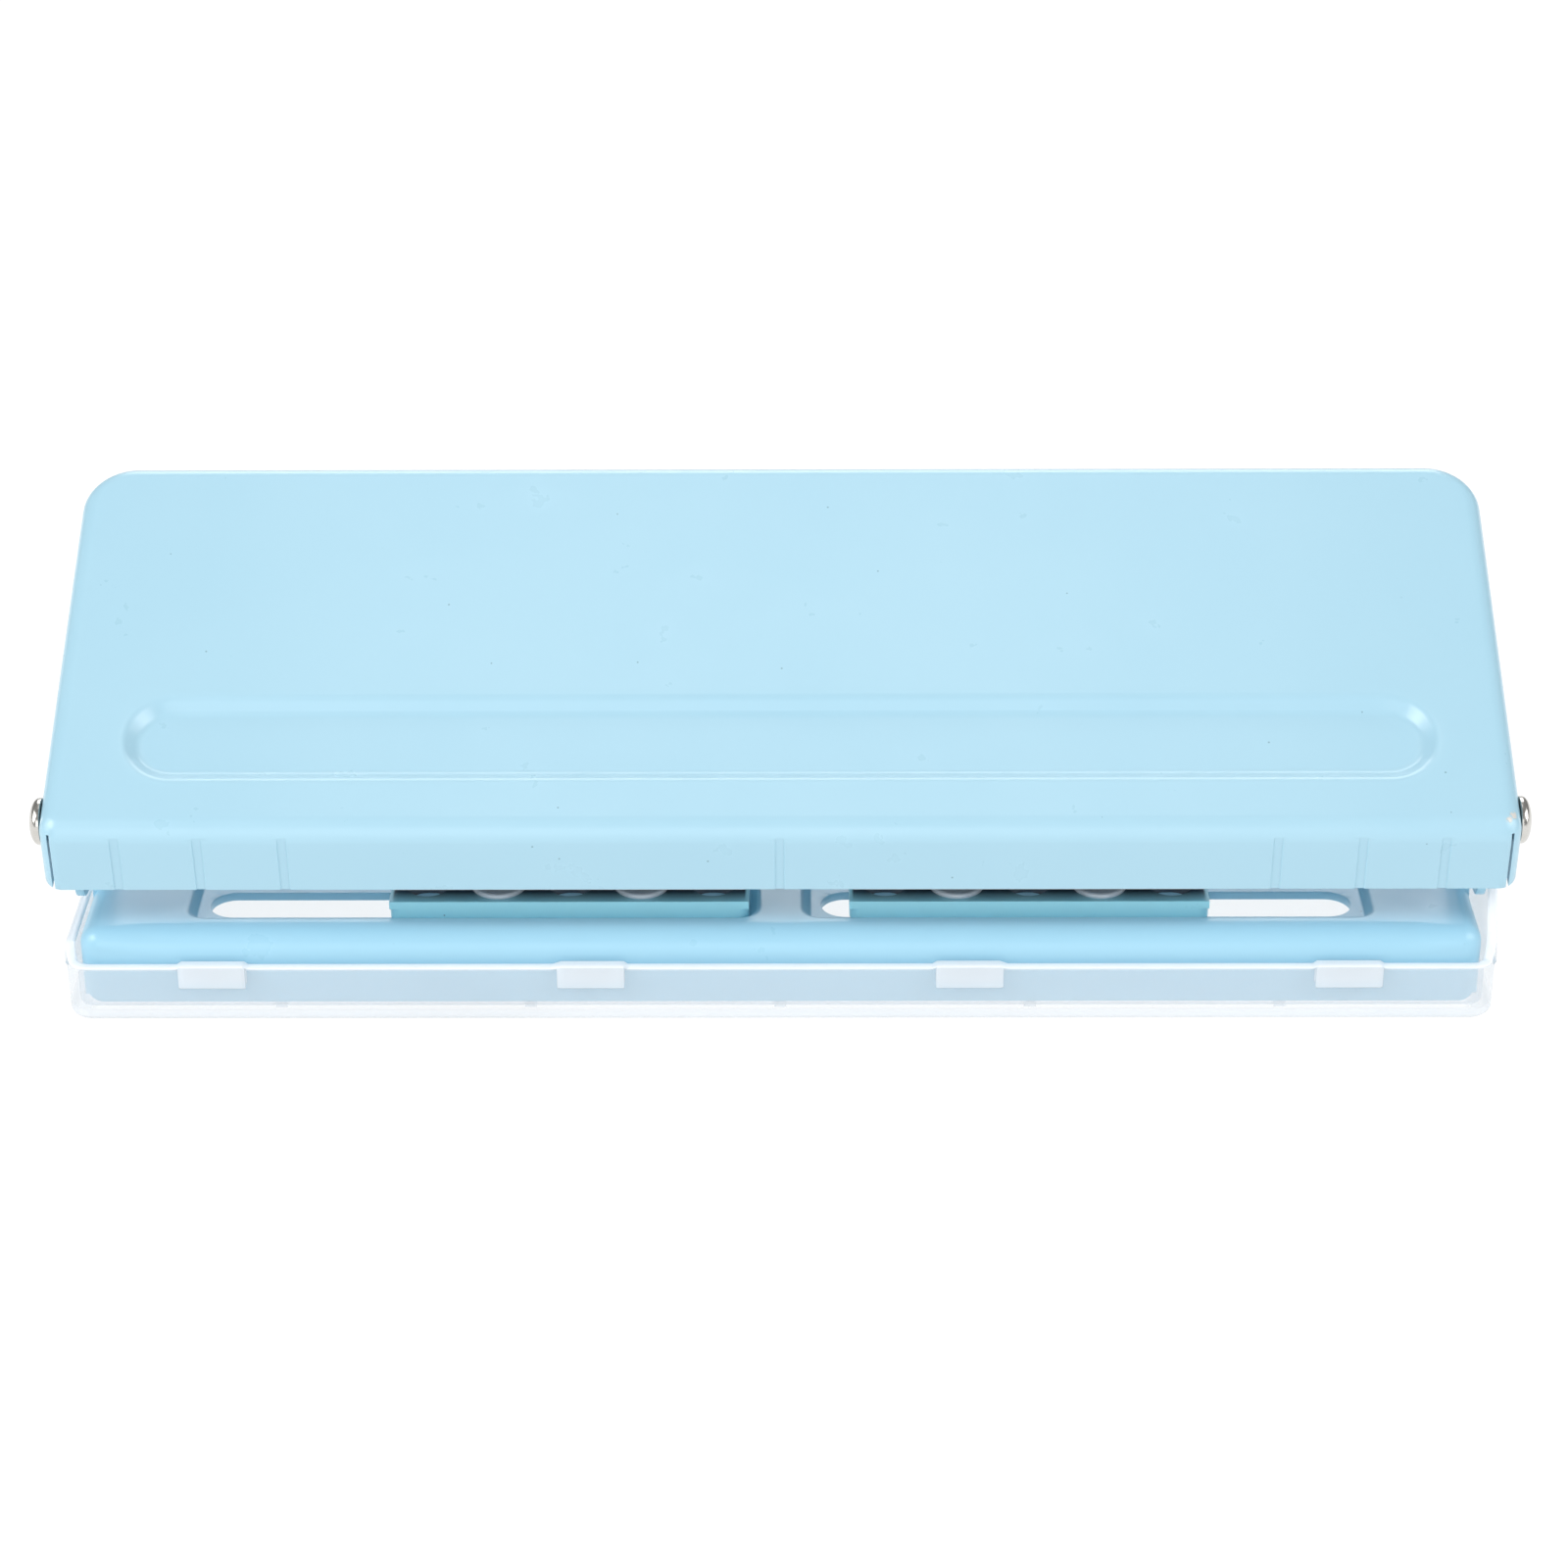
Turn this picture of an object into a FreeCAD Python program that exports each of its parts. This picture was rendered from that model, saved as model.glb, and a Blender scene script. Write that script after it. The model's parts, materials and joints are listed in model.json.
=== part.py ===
"""Adjustable desktop punch for organiser pages: two sliding three-pin units under one lever plate.

Units are millimetres.  The origin is the centre of the chip tray's underside, +X runs along the
long side, +Y points away from the edge where the paper goes in, and +Z is up.
Depths named *_depth_at or *_line count backwards from the front skirt face of the base plate.
"""
import FreeCAD
import Part
import math
import os

V = FreeCAD.Vector

# ---- modelling allowances: how far cutters overshoot, and how near counts as equal -----------
MARGIN = 5.0
TOLERANCE = 0.01

# ---- base plate ---------------------------------------------------------------------------
BASE_LENGTH = 184.6
BASE_DEPTH = 66.0
BASE_TOP = 12.3
BASE_SKIRT_BOTTOM = 2.0
BASE_SHEET = 1.2
BASE_BEND_RADIUS = 2.2
BASE_CORNER_RADIUS = 2.6
SKIRT_CORNER_RADIUS = 2.8

# ---- recess in the base, one pocket per unit, with a bridge between them --------------------
POCKET_SINK = 1.45
POCKET_WALL_RUN = 1.1
POCKET_INNER_FOOT = 4.0
POCKET_SIDE_MARGIN = 14.8
POCKET_END_CLEAR = 1.35
POCKET_CORNER_RADIUS = 1.6
POCKET_FRONT_MARGIN = 4.6

# ---- punching line and pins -----------------------------------------------------------------
PIN_LINE = 10.4
PIN_PITCH = 19.0
PINS_PER_UNIT = 3
PIN_DIAMETER = 5.5
PIN_FIT = 0.05
PIN_DOME_EXTRA = 0.45
PIN_NOTCH_DEPTH = 0.8
PIN_TOP_CLEARANCE = 0.25
TIP_ABOVE_GAP = 0.1
CHIP_HOLE_EXTRA = 0.8

# ---- sliding unit ---------------------------------------------------------------------------
UNIT_END_WALL = 2.05
UNIT_END_CLEARANCE = 0.15
UNIT_FRONT = 6.05
UNIT_REAR_CLEARANCE = 0.6
UNIT_SHEET = 1.1
UNIT_BEND_RADIUS = 0.6
SLIDE_PLATE_THICKNESS = 1.7
SLIDE_PLATE_CORNER = 1.5
SLIDE_CLEARANCE = 0.08
PAPER_GAP = 1.6
UNIT_RISE = 13.3
LEFT_UNIT_OFFSET = 0.0
RIGHT_UNIT_OFFSET = 5.0
SLOT_CLEARANCE = 1.0
SLOT_END_MARGIN = 0.75
GUIDE_FRONT_INSET = 0.45
GUIDE_CORNER = 0.8
GUIDE_TAB_LENGTH = 8.0
GUIDE_TAB_SPACING = 30.0
GUIDE_TAB_CLEARANCE = 0.05

# ---- keeper plate and guide rivets ----------------------------------------------------------
KEEPER_END_INSET = 0.8
KEEPER_DEPTH = 11.0
KEEPER_THICKNESS = 1.2
KEEPER_CORNER = 1.5
RIVET_SHANK_DIAMETER = 4.0
RIVET_SHOULDER_CLEARANCE = 0.2
RIVET_HEAD_DIAMETER = 7.2
RIVET_HEAD_HEIGHT = 0.6
RIVET_TAIL_DIAMETER = 5.6
RIVET_TAIL_HEIGHT = 0.7

# ---- clips and return springs ---------------------------------------------------------------
CLIP_THICKNESS = 0.7
CLIP_RING_WIDTH = 1.95
CLIP_GROOVE_DEPTH = 0.5
CLIP_MOUTH_INSET = 0.45
CLIP_GAP = 0.1
SPRING_WIRE = 0.6
SPRING_CLEARANCE = 0.45
SPRING_TURNS = 4.5
SPRING_GAP = 0.05

# ---- lever plate ----------------------------------------------------------------------------
HANDLE_SIDE_CLEARANCE = 2.5
HANDLE_DEPTH = 62.0
HANDLE_SHEET = 1.2
HANDLE_REST_TILT = 26.4
HANDLE_FRONT_Y = -1.14
HANDLE_FRONT_RISE = 16.2
HANDLE_BEND_RADIUS = 1.9
HANDLE_CORNER_RADIUS = 7.2
FRONT_FLANGE_LENGTH = 9.6
FRONT_FLANGE_SPREAD = 19.0
FRONT_FLANGE_GAP = 0.35
GAP_START = 2.6
SIDE_SKIRT_MIDDLE = 8.2
SIDE_SKIRT_MIDDLE_AT = 22.0
REAR_SKIRT = 5.2
PIVOT_FROM_FRONT = 4.35
PIVOT_BELOW_TOP = 4.2
GROOVE_CENTRE = 14.8
GROOVE_HALF_WIDTH = 6.7
GROOVE_END_MARGIN = 9.8
GROOVE_SINK = 1.5
GROOVE_WALL_RUN = 1.9
GROOVE_OUTER_EXTRA = 0.55
TICK_WIDTH = 0.8
TICK_DEPTH = 0.25
TICK_START = 1.6
TICK_POSITIONS = (0.0, 64.4, 75.4, 86.1)

# ---- pivot ----------------------------------------------------------------------------------
PIVOT_SHANK_DIAMETER = 3.0
PIVOT_FIT = 0.08
PIVOT_HEAD_DIAMETER = 6.2
PIVOT_HEAD_HEIGHT = 1.6
PIVOT_HEAD_GAP = 0.1
PIVOT_TAIL_DIAMETER = 4.6
PIVOT_TAIL_HEIGHT = 0.8
SPACER_OUTER_DIAMETER = 5.2
SPACER_SIDE_GAP = 0.3
EAR_TOP_CLEARANCE = 0.3
EAR_NOSE_RADIUS = 2.4
EAR_NOSE_RISE = 4.0
EAR_ROOT_START = 13.0
EAR_ROOT_END = 34.0
EAR_ARM_DEPTH = 7.5
EAR_ROOT_OVERLAP = 6.0

# ---- chip tray ------------------------------------------------------------------------------
TRAY_WALL = 1.3
TRAY_FLOOR = 1.3
TRAY_SIDE_GAP = 0.6
TRAY_END_GAP = 0.25
TRAY_RIM_DROP = 4.1
TRAY_LEFT_WALL_RISE = 2.2
TRAY_LUG_RISE = 9.0
TRAY_LUG_SLOPE_RUN = 4.6
TRAY_LUG_LENGTH = 26.0
TRAY_CORNER_RADIUS = 3.4
TRAY_FLOOR_RADIUS = 1.0
TRAY_TAB_WIDTH = 8.9
TRAY_TAB_HEIGHT = 3.7
TRAY_TAB_RISE = 0.4
TRAY_TAB_PROUD = 0.45
TRAY_TAB_END_MARGIN = 19.5
TRAY_TABS = 4
TRAY_BEAD_PROUD = 0.4
TRAY_BEAD_HEIGHT = 1.9
TRAY_BEAD_DEPTH = 5.0
TRAY_RIB_WIDTH = 1.6
TRAY_RIB_REACH = 3.4
TRAY_RIB_END_MARGIN = 28.2
TRAY_RIBS = 5

# ---- worked-out places ----------------------------------------------------------------------
TRAY_DEPTH = BASE_DEPTH + 2 * (TRAY_END_GAP + TRAY_WALL)
TRAY_LENGTH = BASE_LENGTH + 2 * (TRAY_SIDE_GAP + TRAY_WALL)
TRAY_RIM = BASE_TOP - TRAY_RIM_DROP
TRAY_LEFT_WALL = TRAY_RIM + TRAY_LEFT_WALL_RISE
TRAY_LUG_TOP = TRAY_RIM + TRAY_LUG_RISE
TRAY_TAB_TOP = TRAY_RIM + TRAY_TAB_RISE
TRAY_TAB_BOTTOM = TRAY_TAB_TOP - TRAY_TAB_HEIGHT
TRAY_TAB_PITCH = (TRAY_LENGTH - 2 * TRAY_TAB_END_MARGIN) / (TRAY_TABS - 1)
TRAY_RIB_PITCH = (TRAY_LENGTH - 2 * TRAY_RIB_END_MARGIN) / (TRAY_RIBS - 1)
Y_SHIFT = -BASE_DEPTH / 2
PIN_Y = PIN_LINE + Y_SHIFT
CLIP_GROOVE_DIAMETER = PIN_DIAMETER - 2 * CLIP_GROOVE_DEPTH
CLIP_OUTER_DIAMETER = CLIP_GROOVE_DIAMETER + 2 * CLIP_RING_WIDTH
UNIT_REAR = PIN_LINE + CLIP_OUTER_DIAMETER / 2 + UNIT_REAR_CLEARANCE + UNIT_SHEET
POCKET_FLOOR = BASE_TOP - POCKET_SINK
FLOOR_UNDERSIDE = POCKET_FLOOR - BASE_SHEET
PIN_REACH = (PINS_PER_UNIT - 1) / 2 * PIN_PITCH
UNIT_HALF = PIN_REACH + PIN_DIAMETER / 2 + UNIT_END_WALL
UNIT_TOP = BASE_TOP + UNIT_RISE
UNIT_INNER_STOP = POCKET_INNER_FOOT + UNIT_END_CLEARANCE + UNIT_HALF
POCKET_OUTER_FOOT = BASE_LENGTH / 2 - POCKET_SIDE_MARGIN
UNIT_OUTER_STOP = POCKET_OUTER_FOOT - UNIT_END_CLEARANCE - UNIT_HALF
SLOT_WIDTH = PIN_DIAMETER + SLOT_CLEARANCE
SLOT_INNER_END = UNIT_INNER_STOP - PIN_REACH - PIN_DIAMETER / 2 - SLOT_END_MARGIN
SLOT_OUTER_END = UNIT_OUTER_STOP + PIN_REACH + PIN_DIAMETER / 2 + SLOT_END_MARGIN
SLIDE_BOTTOM = POCKET_FLOOR + SLIDE_CLEARANCE
SLIDE_TOP = SLIDE_BOTTOM + SLIDE_PLATE_THICKNESS
DIE_TOP = SLIDE_TOP + UNIT_SHEET
GUIDE_BOTTOM = DIE_TOP + PAPER_GAP
GUIDE_TOP = GUIDE_BOTTOM + UNIT_SHEET
KEEPER_TOP = FLOOR_UNDERSIDE - SLIDE_CLEARANCE
KEEPER_BOTTOM = KEEPER_TOP - KEEPER_THICKNESS
TILT = math.radians(HANDLE_REST_TILT)
HANDLE_LENGTH = BASE_LENGTH + 2 * (HANDLE_SIDE_CLEARANCE + HANDLE_SHEET)
HANDLE_FRONT_Z = BASE_TOP + HANDLE_FRONT_RISE
GROOVE_HALF_LENGTH = HANDLE_LENGTH / 2 - GROOVE_END_MARGIN
PIVOT_Y = (HANDLE_FRONT_Y + PIVOT_FROM_FRONT * math.cos(TILT)
           + PIVOT_BELOW_TOP * math.sin(TILT) + Y_SHIFT)
PIVOT_Z = (HANDLE_FRONT_Z + PIVOT_FROM_FRONT * math.sin(TILT)
           - PIVOT_BELOW_TOP * math.cos(TILT))
HANDLE_UNDER_GROOVE = PIVOT_BELOW_TOP - GROOVE_SINK - HANDLE_SHEET
PIN_TIP = GUIDE_BOTTOM + TIP_ABOVE_GAP
PIN_DOME_RADIUS = PIN_DIAMETER / 2 + PIN_DOME_EXTRA
PIN_ARM = PIN_Y - PIVOT_Y
DOME_CENTRE = (PIVOT_Z - PIN_TOP_CLEARANCE
               + (HANDLE_UNDER_GROOVE - PIN_DOME_RADIUS + PIN_ARM * math.sin(TILT)) / math.cos(TILT))
PIN_TOP = DOME_CENTRE + PIN_DOME_RADIUS
CLIP_TOP = UNIT_TOP - UNIT_SHEET - CLIP_GAP
CLIP_BOTTOM = CLIP_TOP - CLIP_THICKNESS
SPRING_MEAN_DIAMETER = PIN_DIAMETER + SPRING_WIRE + 2 * SPRING_CLEARANCE
EAR_OUTER = BASE_LENGTH / 2
EAR_INNER = EAR_OUTER - BASE_SHEET
EAR_RADIUS = PIVOT_BELOW_TOP - HANDLE_SHEET - EAR_TOP_CLEARANCE
EAR_NOSE_BOTTOM = BASE_TOP + EAR_NOSE_RISE
HANDLE_INNER = HANDLE_LENGTH / 2 - HANDLE_SHEET


def box(x0, x1, y0, y1, z0, z1):
    """Return an upright block between two corners."""
    return Part.makeBox(x1 - x0, y1 - y0, z1 - z0, V(x0, y0, z0))


def cylinder(x, y, z0, z1, diameter):
    """Return an upright round bar."""
    return Part.makeCylinder(diameter / 2, z1 - z0, V(x, y, z0))


def rounded_wire(points, radii):
    """Return a closed wire through the corners, each rounded by its own radius (0 keeps it sharp)."""
    edges = []
    count = len(points)
    starts, ends = [], []
    arcs = []
    for index, corner in enumerate(points):
        before = points[index - 1]
        after = points[(index + 1) % count]
        to_before = (before - corner).normalize()
        to_after = (after - corner).normalize()
        if radii[index] <= 0:
            starts.append(corner)
            ends.append(corner)
            arcs.append(None)
            continue
        half_angle = to_before.getAngle(to_after) / 2
        setback = radii[index] / math.tan(half_angle)
        bisector = (to_before + to_after).normalize()
        centre = corner + bisector * (radii[index] / math.sin(half_angle))
        first = corner + to_before * setback
        last = corner + to_after * setback
        middle = centre - bisector * radii[index]
        starts.append(first)
        ends.append(last)
        arcs.append(Part.Arc(first, middle, last).toShape())
    for index in range(count):
        if arcs[index] is not None:
            edges.append(arcs[index])
        following = starts[(index + 1) % count]
        if (following - ends[index]).Length > TOLERANCE:
            edges.append(Part.LineSegment(ends[index], following).toShape())
    return Part.Wire(edges)


def rectangle_wire(x0, x1, y0, y1, z, radius):
    """Return a level rectangle with rounded corners."""
    corners = [V(x0, y0, z), V(x1, y0, z), V(x1, y1, z), V(x0, y1, z)]
    return rounded_wire(corners, [radius] * len(corners))


def rounded_block(x0, x1, y0, y1, z0, z1, radius):
    """Return a block with rounded upright corners."""
    face = Part.Face(rectangle_wire(x0, x1, y0, y1, z0, radius))
    return face.extrude(V(0, 0, z1 - z0))


def side_prism(points, radii, x0, x1):
    """Return a plate cut to a side outline of (y, z) corners, between two X planes."""
    wire = rounded_wire([V(x0, y, z) for y, z in points], radii)
    return Part.Face(wire).extrude(V(x1 - x0, 0, 0))


def edges_at_height(shape, z):
    """Return the edges that lie wholly at one height."""
    return [edge for edge in shape.Edges
            if abs(edge.BoundBox.ZMin - z) < TOLERANCE and abs(edge.BoundBox.ZMax - z) < TOLERANCE]


def pan(x_half, y0, y1, z0, z1, corner, bend):
    """Return a solid block with rounded upright corners and a rounded top edge."""
    block = rounded_block(-x_half, x_half, y0, y1, z0, z1, corner)
    return block.makeFillet(bend, edges_at_height(block, z1))


def pin_xs(centre):
    """Return the X place of each pin of a unit."""
    return [centre - PIN_REACH + index * PIN_PITCH for index in range(PINS_PER_UNIT)]


def rivet_xs(centre):
    """Return the X place of each guide rivet, half way between neighbouring pins."""
    pins = pin_xs(centre)
    return [(a + b) / 2 for a, b in zip(pins, pins[1:])]


def pocket(side, grow, z_top, z_bottom):
    """Return the tapered plug that forms one pocket, grown sideways by a wall."""
    inner, outer = POCKET_INNER_FOOT - grow, POCKET_OUTER_FOOT + grow
    front = POCKET_FRONT_MARGIN + POCKET_WALL_RUN - grow + Y_SHIFT
    rear = UNIT_REAR + POCKET_END_CLEAR + grow + Y_SHIFT
    run = POCKET_WALL_RUN
    x0, x1 = sorted((side * inner, side * outer))
    floor_wire = rectangle_wire(x0, x1, front, rear, z_bottom, POCKET_CORNER_RADIUS)
    rim_wire = rectangle_wire(x0 - run, x1 + run, front - run, rear + run, z_top,
                              POCKET_CORNER_RADIUS + run)
    return Part.makeLoft([floor_wire, rim_wire], True, True)


def slot(side):
    """Return the cutter of the long slot that the chips fall through."""
    x0, x1 = sorted((side * SLOT_INNER_END, side * SLOT_OUTER_END))
    half = SLOT_WIDTH / 2
    return rounded_block(x0, x1, PIN_Y - half, PIN_Y + half, FLOOR_UNDERSIDE - MARGIN, BASE_TOP,
                         half / 2)


def ear(side):
    """Return one hinge ear: an arm that leans forward from the base's end wall to the pivot."""
    x0, x1 = sorted((side * EAR_INNER, side * EAR_OUTER))
    front = PIVOT_Y - EAR_RADIUS
    top = PIVOT_Z + EAR_RADIUS
    root_front, root_rear = EAR_ROOT_START + Y_SHIFT, EAR_ROOT_END + Y_SHIFT
    corners = [
        (front, EAR_NOSE_BOTTOM),
        (front, top),
        (PIVOT_Y + EAR_RADIUS, top),
        (root_rear, BASE_TOP),
        (root_rear, BASE_TOP - EAR_ROOT_OVERLAP),
        (root_front, BASE_TOP - EAR_ROOT_OVERLAP),
        (root_front, EAR_NOSE_BOTTOM - BASE_SHEET),
    ]
    radii = [EAR_NOSE_RADIUS, EAR_RADIUS - PIVOT_FIT, EAR_RADIUS / 2, EAR_RADIUS, 0, 0,
             EAR_NOSE_RADIUS / 2]
    plate = side_prism(corners, radii, x0, x1)
    hole = Part.makeCylinder(PIVOT_SHANK_DIAMETER / 2, x1 - x0 + 2 * MARGIN,
                             V(x0 - MARGIN, PIVOT_Y, PIVOT_Z), V(1, 0, 0))
    return plate.cut(hole)


def skirt_corner_cutters():
    """Return the cutters that round the lower corners of the front and rear skirts."""
    radius = SKIRT_CORNER_RADIUS
    cutters = []
    for side in (-1, 1):
        x_edge = side * BASE_LENGTH / 2
        centre_x = x_edge - side * radius
        for y0, y1 in ((Y_SHIFT - MARGIN, Y_SHIFT + radius),
                       (-Y_SHIFT - radius, -Y_SHIFT + MARGIN)):
            x0, x1 = sorted((centre_x, x_edge + side * MARGIN))
            block = box(x0, x1, y0, y1, BASE_SKIRT_BOTTOM - MARGIN, BASE_SKIRT_BOTTOM + radius)
            round_bar = Part.makeCylinder(radius, y1 - y0,
                                          V(centre_x, y0, BASE_SKIRT_BOTTOM + radius), V(0, 1, 0))
            cutters.append(block.cut(round_bar))
    return cutters


def base_plate():
    """Return the pressed base: pan, two pockets with slots, and the two hinge ears."""
    half = BASE_LENGTH / 2
    outer = pan(half, Y_SHIFT, -Y_SHIFT, BASE_SKIRT_BOTTOM, BASE_TOP,
                BASE_CORNER_RADIUS, BASE_BEND_RADIUS)
    inner = pan(half - BASE_SHEET, Y_SHIFT + BASE_SHEET, -Y_SHIFT - BASE_SHEET,
                BASE_SKIRT_BOTTOM - MARGIN, BASE_TOP - BASE_SHEET,
                BASE_CORNER_RADIUS - BASE_SHEET, BASE_BEND_RADIUS - BASE_SHEET)
    shape = outer.cut(inner)
    shape = shape.fuse([pocket(side, BASE_SHEET, BASE_TOP - BASE_SHEET, FLOOR_UNDERSIDE)
                        for side in (-1, 1)])
    shape = shape.fuse([ear(side) for side in (-1, 1)])
    cutters = [pocket(side, 0, BASE_TOP, POCKET_FLOOR) for side in (-1, 1)]
    cutters += [slot(side) for side in (-1, 1)]
    cutters += skirt_corner_cutters()
    return shape.cut(cutters).removeSplitter()


def tray_top_cutter(side, top_height, slope_run, length):
    """Return the cutter that shapes one end wall: low at the front, raised behind a slope."""
    front, rear = -TRAY_DEPTH / 2, TRAY_DEPTH / 2
    wall_line = BASE_LENGTH / 2 + TRAY_SIDE_GAP / 2
    x0, x1 = sorted((side * wall_line, side * (TRAY_LENGTH / 2 + MARGIN)))
    ceiling = TRAY_LUG_TOP + MARGIN
    behind = front + slope_run + length
    corners = [
        (front - MARGIN, TRAY_RIM),
        (front + TRAY_WALL, TRAY_RIM),
        (front + TRAY_WALL + slope_run, top_height),
        (behind, top_height),
        (behind + slope_run, TRAY_RIM),
        (rear + MARGIN, TRAY_RIM),
        (rear + MARGIN, ceiling),
        (front - MARGIN, ceiling),
    ]
    soft = TRAY_WALL
    return side_prism(corners, [0, soft, soft, soft, soft, 0, 0, 0], x0, x1)


def chip_tray():
    """Return the clip-on tray: floor, walls, frosted tabs, side beads, ribs and the finger lug."""
    x_half, y_half = TRAY_LENGTH / 2, TRAY_DEPTH / 2
    outer = rounded_block(-x_half, x_half, -y_half, y_half, 0, TRAY_LUG_TOP, TRAY_CORNER_RADIUS)
    outer = outer.makeFillet(TRAY_FLOOR_RADIUS, edges_at_height(outer, 0))
    inner = rounded_block(-x_half + TRAY_WALL, x_half - TRAY_WALL,
                          -y_half + TRAY_WALL, y_half - TRAY_WALL,
                          TRAY_FLOOR, TRAY_LUG_TOP + MARGIN, TRAY_CORNER_RADIUS - TRAY_WALL)
    shape = outer.cut(inner)
    wall_line = BASE_LENGTH / 2 + TRAY_SIDE_GAP / 2
    middle_cut = box(-wall_line, wall_line, -y_half - MARGIN, y_half + MARGIN,
                     TRAY_RIM, TRAY_LUG_TOP + MARGIN)
    left_cut = tray_top_cutter(-1, TRAY_LEFT_WALL, TRAY_LEFT_WALL - TRAY_RIM, TRAY_DEPTH / 2)
    right_cut = tray_top_cutter(1, TRAY_LUG_TOP, TRAY_LUG_SLOPE_RUN, TRAY_LUG_LENGTH)
    shape = shape.cut([middle_cut, left_cut, right_cut])
    extras = []
    for index in range(TRAY_TABS):
        x = (index - (TRAY_TABS - 1) / 2) * TRAY_TAB_PITCH
        for side in (-1, 1):
            y0, y1 = sorted((side * (y_half - TRAY_WALL), side * (y_half + TRAY_TAB_PROUD)))
            extras.append(box(x - TRAY_TAB_WIDTH / 2, x + TRAY_TAB_WIDTH / 2, y0, y1,
                              TRAY_TAB_BOTTOM, TRAY_TAB_TOP))
    for side in (-1, 1):
        x0, x1 = sorted((side * (x_half - TRAY_WALL), side * (x_half + TRAY_BEAD_PROUD)))
        y0 = -y_half + TRAY_CORNER_RADIUS
        extras.append(box(x0, x1, y0, y0 + TRAY_BEAD_DEPTH, TRAY_RIM - TRAY_BEAD_HEIGHT, TRAY_RIM))
    for index in range(TRAY_RIBS):
        x = (index - (TRAY_RIBS - 1) / 2) * TRAY_RIB_PITCH
        for side in (-1, 1):
            y0, y1 = sorted((side * (y_half - TRAY_WALL),
                             side * (y_half - TRAY_WALL - TRAY_RIB_REACH)))
            extras.append(box(x - TRAY_RIB_WIDTH / 2, x + TRAY_RIB_WIDTH / 2, y0, y1,
                              TRAY_FLOOR / 2, BASE_SKIRT_BOTTOM))
    return shape.fuse(extras).removeSplitter()


def to_rest_tilt(shape):
    """Turn a lever-plate shape to its rest place; it is drawn level, front top edge at the origin."""
    shape.rotate(V(0, 0, 0), V(1, 0, 0), HANDLE_REST_TILT)
    shape.translate(V(0, HANDLE_FRONT_Y + Y_SHIFT, HANDLE_FRONT_Z))
    return shape


def stadium(centre, half_width, half_length, z):
    """Return a level wire with straight long sides and half-round ends."""
    straight = half_length - half_width
    corners = [V(-straight, centre - half_width, z), V(straight, centre - half_width, z),
               V(straight, centre + half_width, z), V(-straight, centre + half_width, z)]
    edges = []
    for index, side in ((0, 1), (2, -1)):
        first, last = corners[index], corners[index + 1]
        edges.append(Part.LineSegment(first, last).toShape())
        tip = V(side * half_length, centre, z)
        edges.append(Part.Arc(last, tip, corners[(index + 2) % len(corners)]).toShape())
    return Part.Wire(edges)


def groove(grow, z_top, z_bottom):
    """Return the plug of the stiffening groove, grown by a wall."""
    rim = stadium(GROOVE_CENTRE, GROOVE_HALF_WIDTH + grow, GROOVE_HALF_LENGTH + grow, z_top)
    floor = stadium(GROOVE_CENTRE, GROOVE_HALF_WIDTH - GROOVE_WALL_RUN + grow,
                    GROOVE_HALF_LENGTH - GROOVE_WALL_RUN + grow, z_bottom)
    return Part.makeLoft([rim, floor], True, True)


def handle_profile(inset, drop):
    """Return the side outline of the lever plate, moved inwards by inset; drop lowers its open side."""
    spread = math.radians(FRONT_FLANGE_SPREAD)
    along = V(0, -math.sin(spread), -math.cos(spread))
    inward = inset / math.cos(spread)
    shift = inward - inset * math.tan(spread)
    flange_end = along * (FRONT_FLANGE_LENGTH + drop)
    bottom = flange_end.z
    return [
        (shift, -inset),
        (inward + flange_end.y, bottom),
        (SIDE_SKIRT_MIDDLE_AT, -SIDE_SKIRT_MIDDLE - drop),
        (HANDLE_DEPTH - inset, -REAR_SKIRT - drop),
        (HANDLE_DEPTH - inset, -inset),
    ]


def handle_shell(inset, drop, corner, bend):
    """Return the solid outline of the lever plate, moved inwards by inset."""
    half = HANDLE_LENGTH / 2 - inset
    points = handle_profile(inset, drop)
    body = side_prism(points, [bend, 0, 0, 0, 0], -half, half)
    reach = FRONT_FLANGE_LENGTH + MARGIN
    corners = [V(-half, -reach, -reach * 2), V(half, -reach, -reach * 2),
               V(half, HANDLE_DEPTH - inset, -reach * 2), V(-half, HANDLE_DEPTH - inset, -reach * 2)]
    plan = Part.Face(rounded_wire(corners, [0, 0, corner, corner])).extrude(V(0, 0, reach * 3))
    body = body.common(plan)
    top_edges = [edge for edge in edges_at_height(body, -inset)
                 if edge.BoundBox.YMax > HANDLE_CORNER_RADIUS]
    return body.makeFillet(bend, top_edges)


def tick_cutters():
    """Return the thin cutters that mark paper sizes on the front flange."""
    cutters = []
    for place in TICK_POSITIONS:
        for x in sorted({-place, place}):
            cutter = box(x - TICK_WIDTH / 2, x + TICK_WIDTH / 2, -MARGIN, TICK_DEPTH,
                         -FRONT_FLANGE_LENGTH - MARGIN, -TICK_START)
            cutter.rotate(V(0, 0, 0), V(1, 0, 0), -FRONT_FLANGE_SPREAD)
            cutters.append(cutter)
    return cutters


def flange_gap_cutters():
    """Return the cutters that part the front flange from the side skirts."""
    cutters = []
    for side in (-1, 1):
        x0, x1 = sorted((side * (HANDLE_INNER - FRONT_FLANGE_GAP), side * HANDLE_INNER))
        cutter = box(x0, x1, -MARGIN, 2 * HANDLE_SHEET, -FRONT_FLANGE_LENGTH - MARGIN, -GAP_START)
        cutter.rotate(V(0, 0, 0), V(1, 0, 0), -FRONT_FLANGE_SPREAD)
        cutters.append(cutter)
    return cutters


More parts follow.
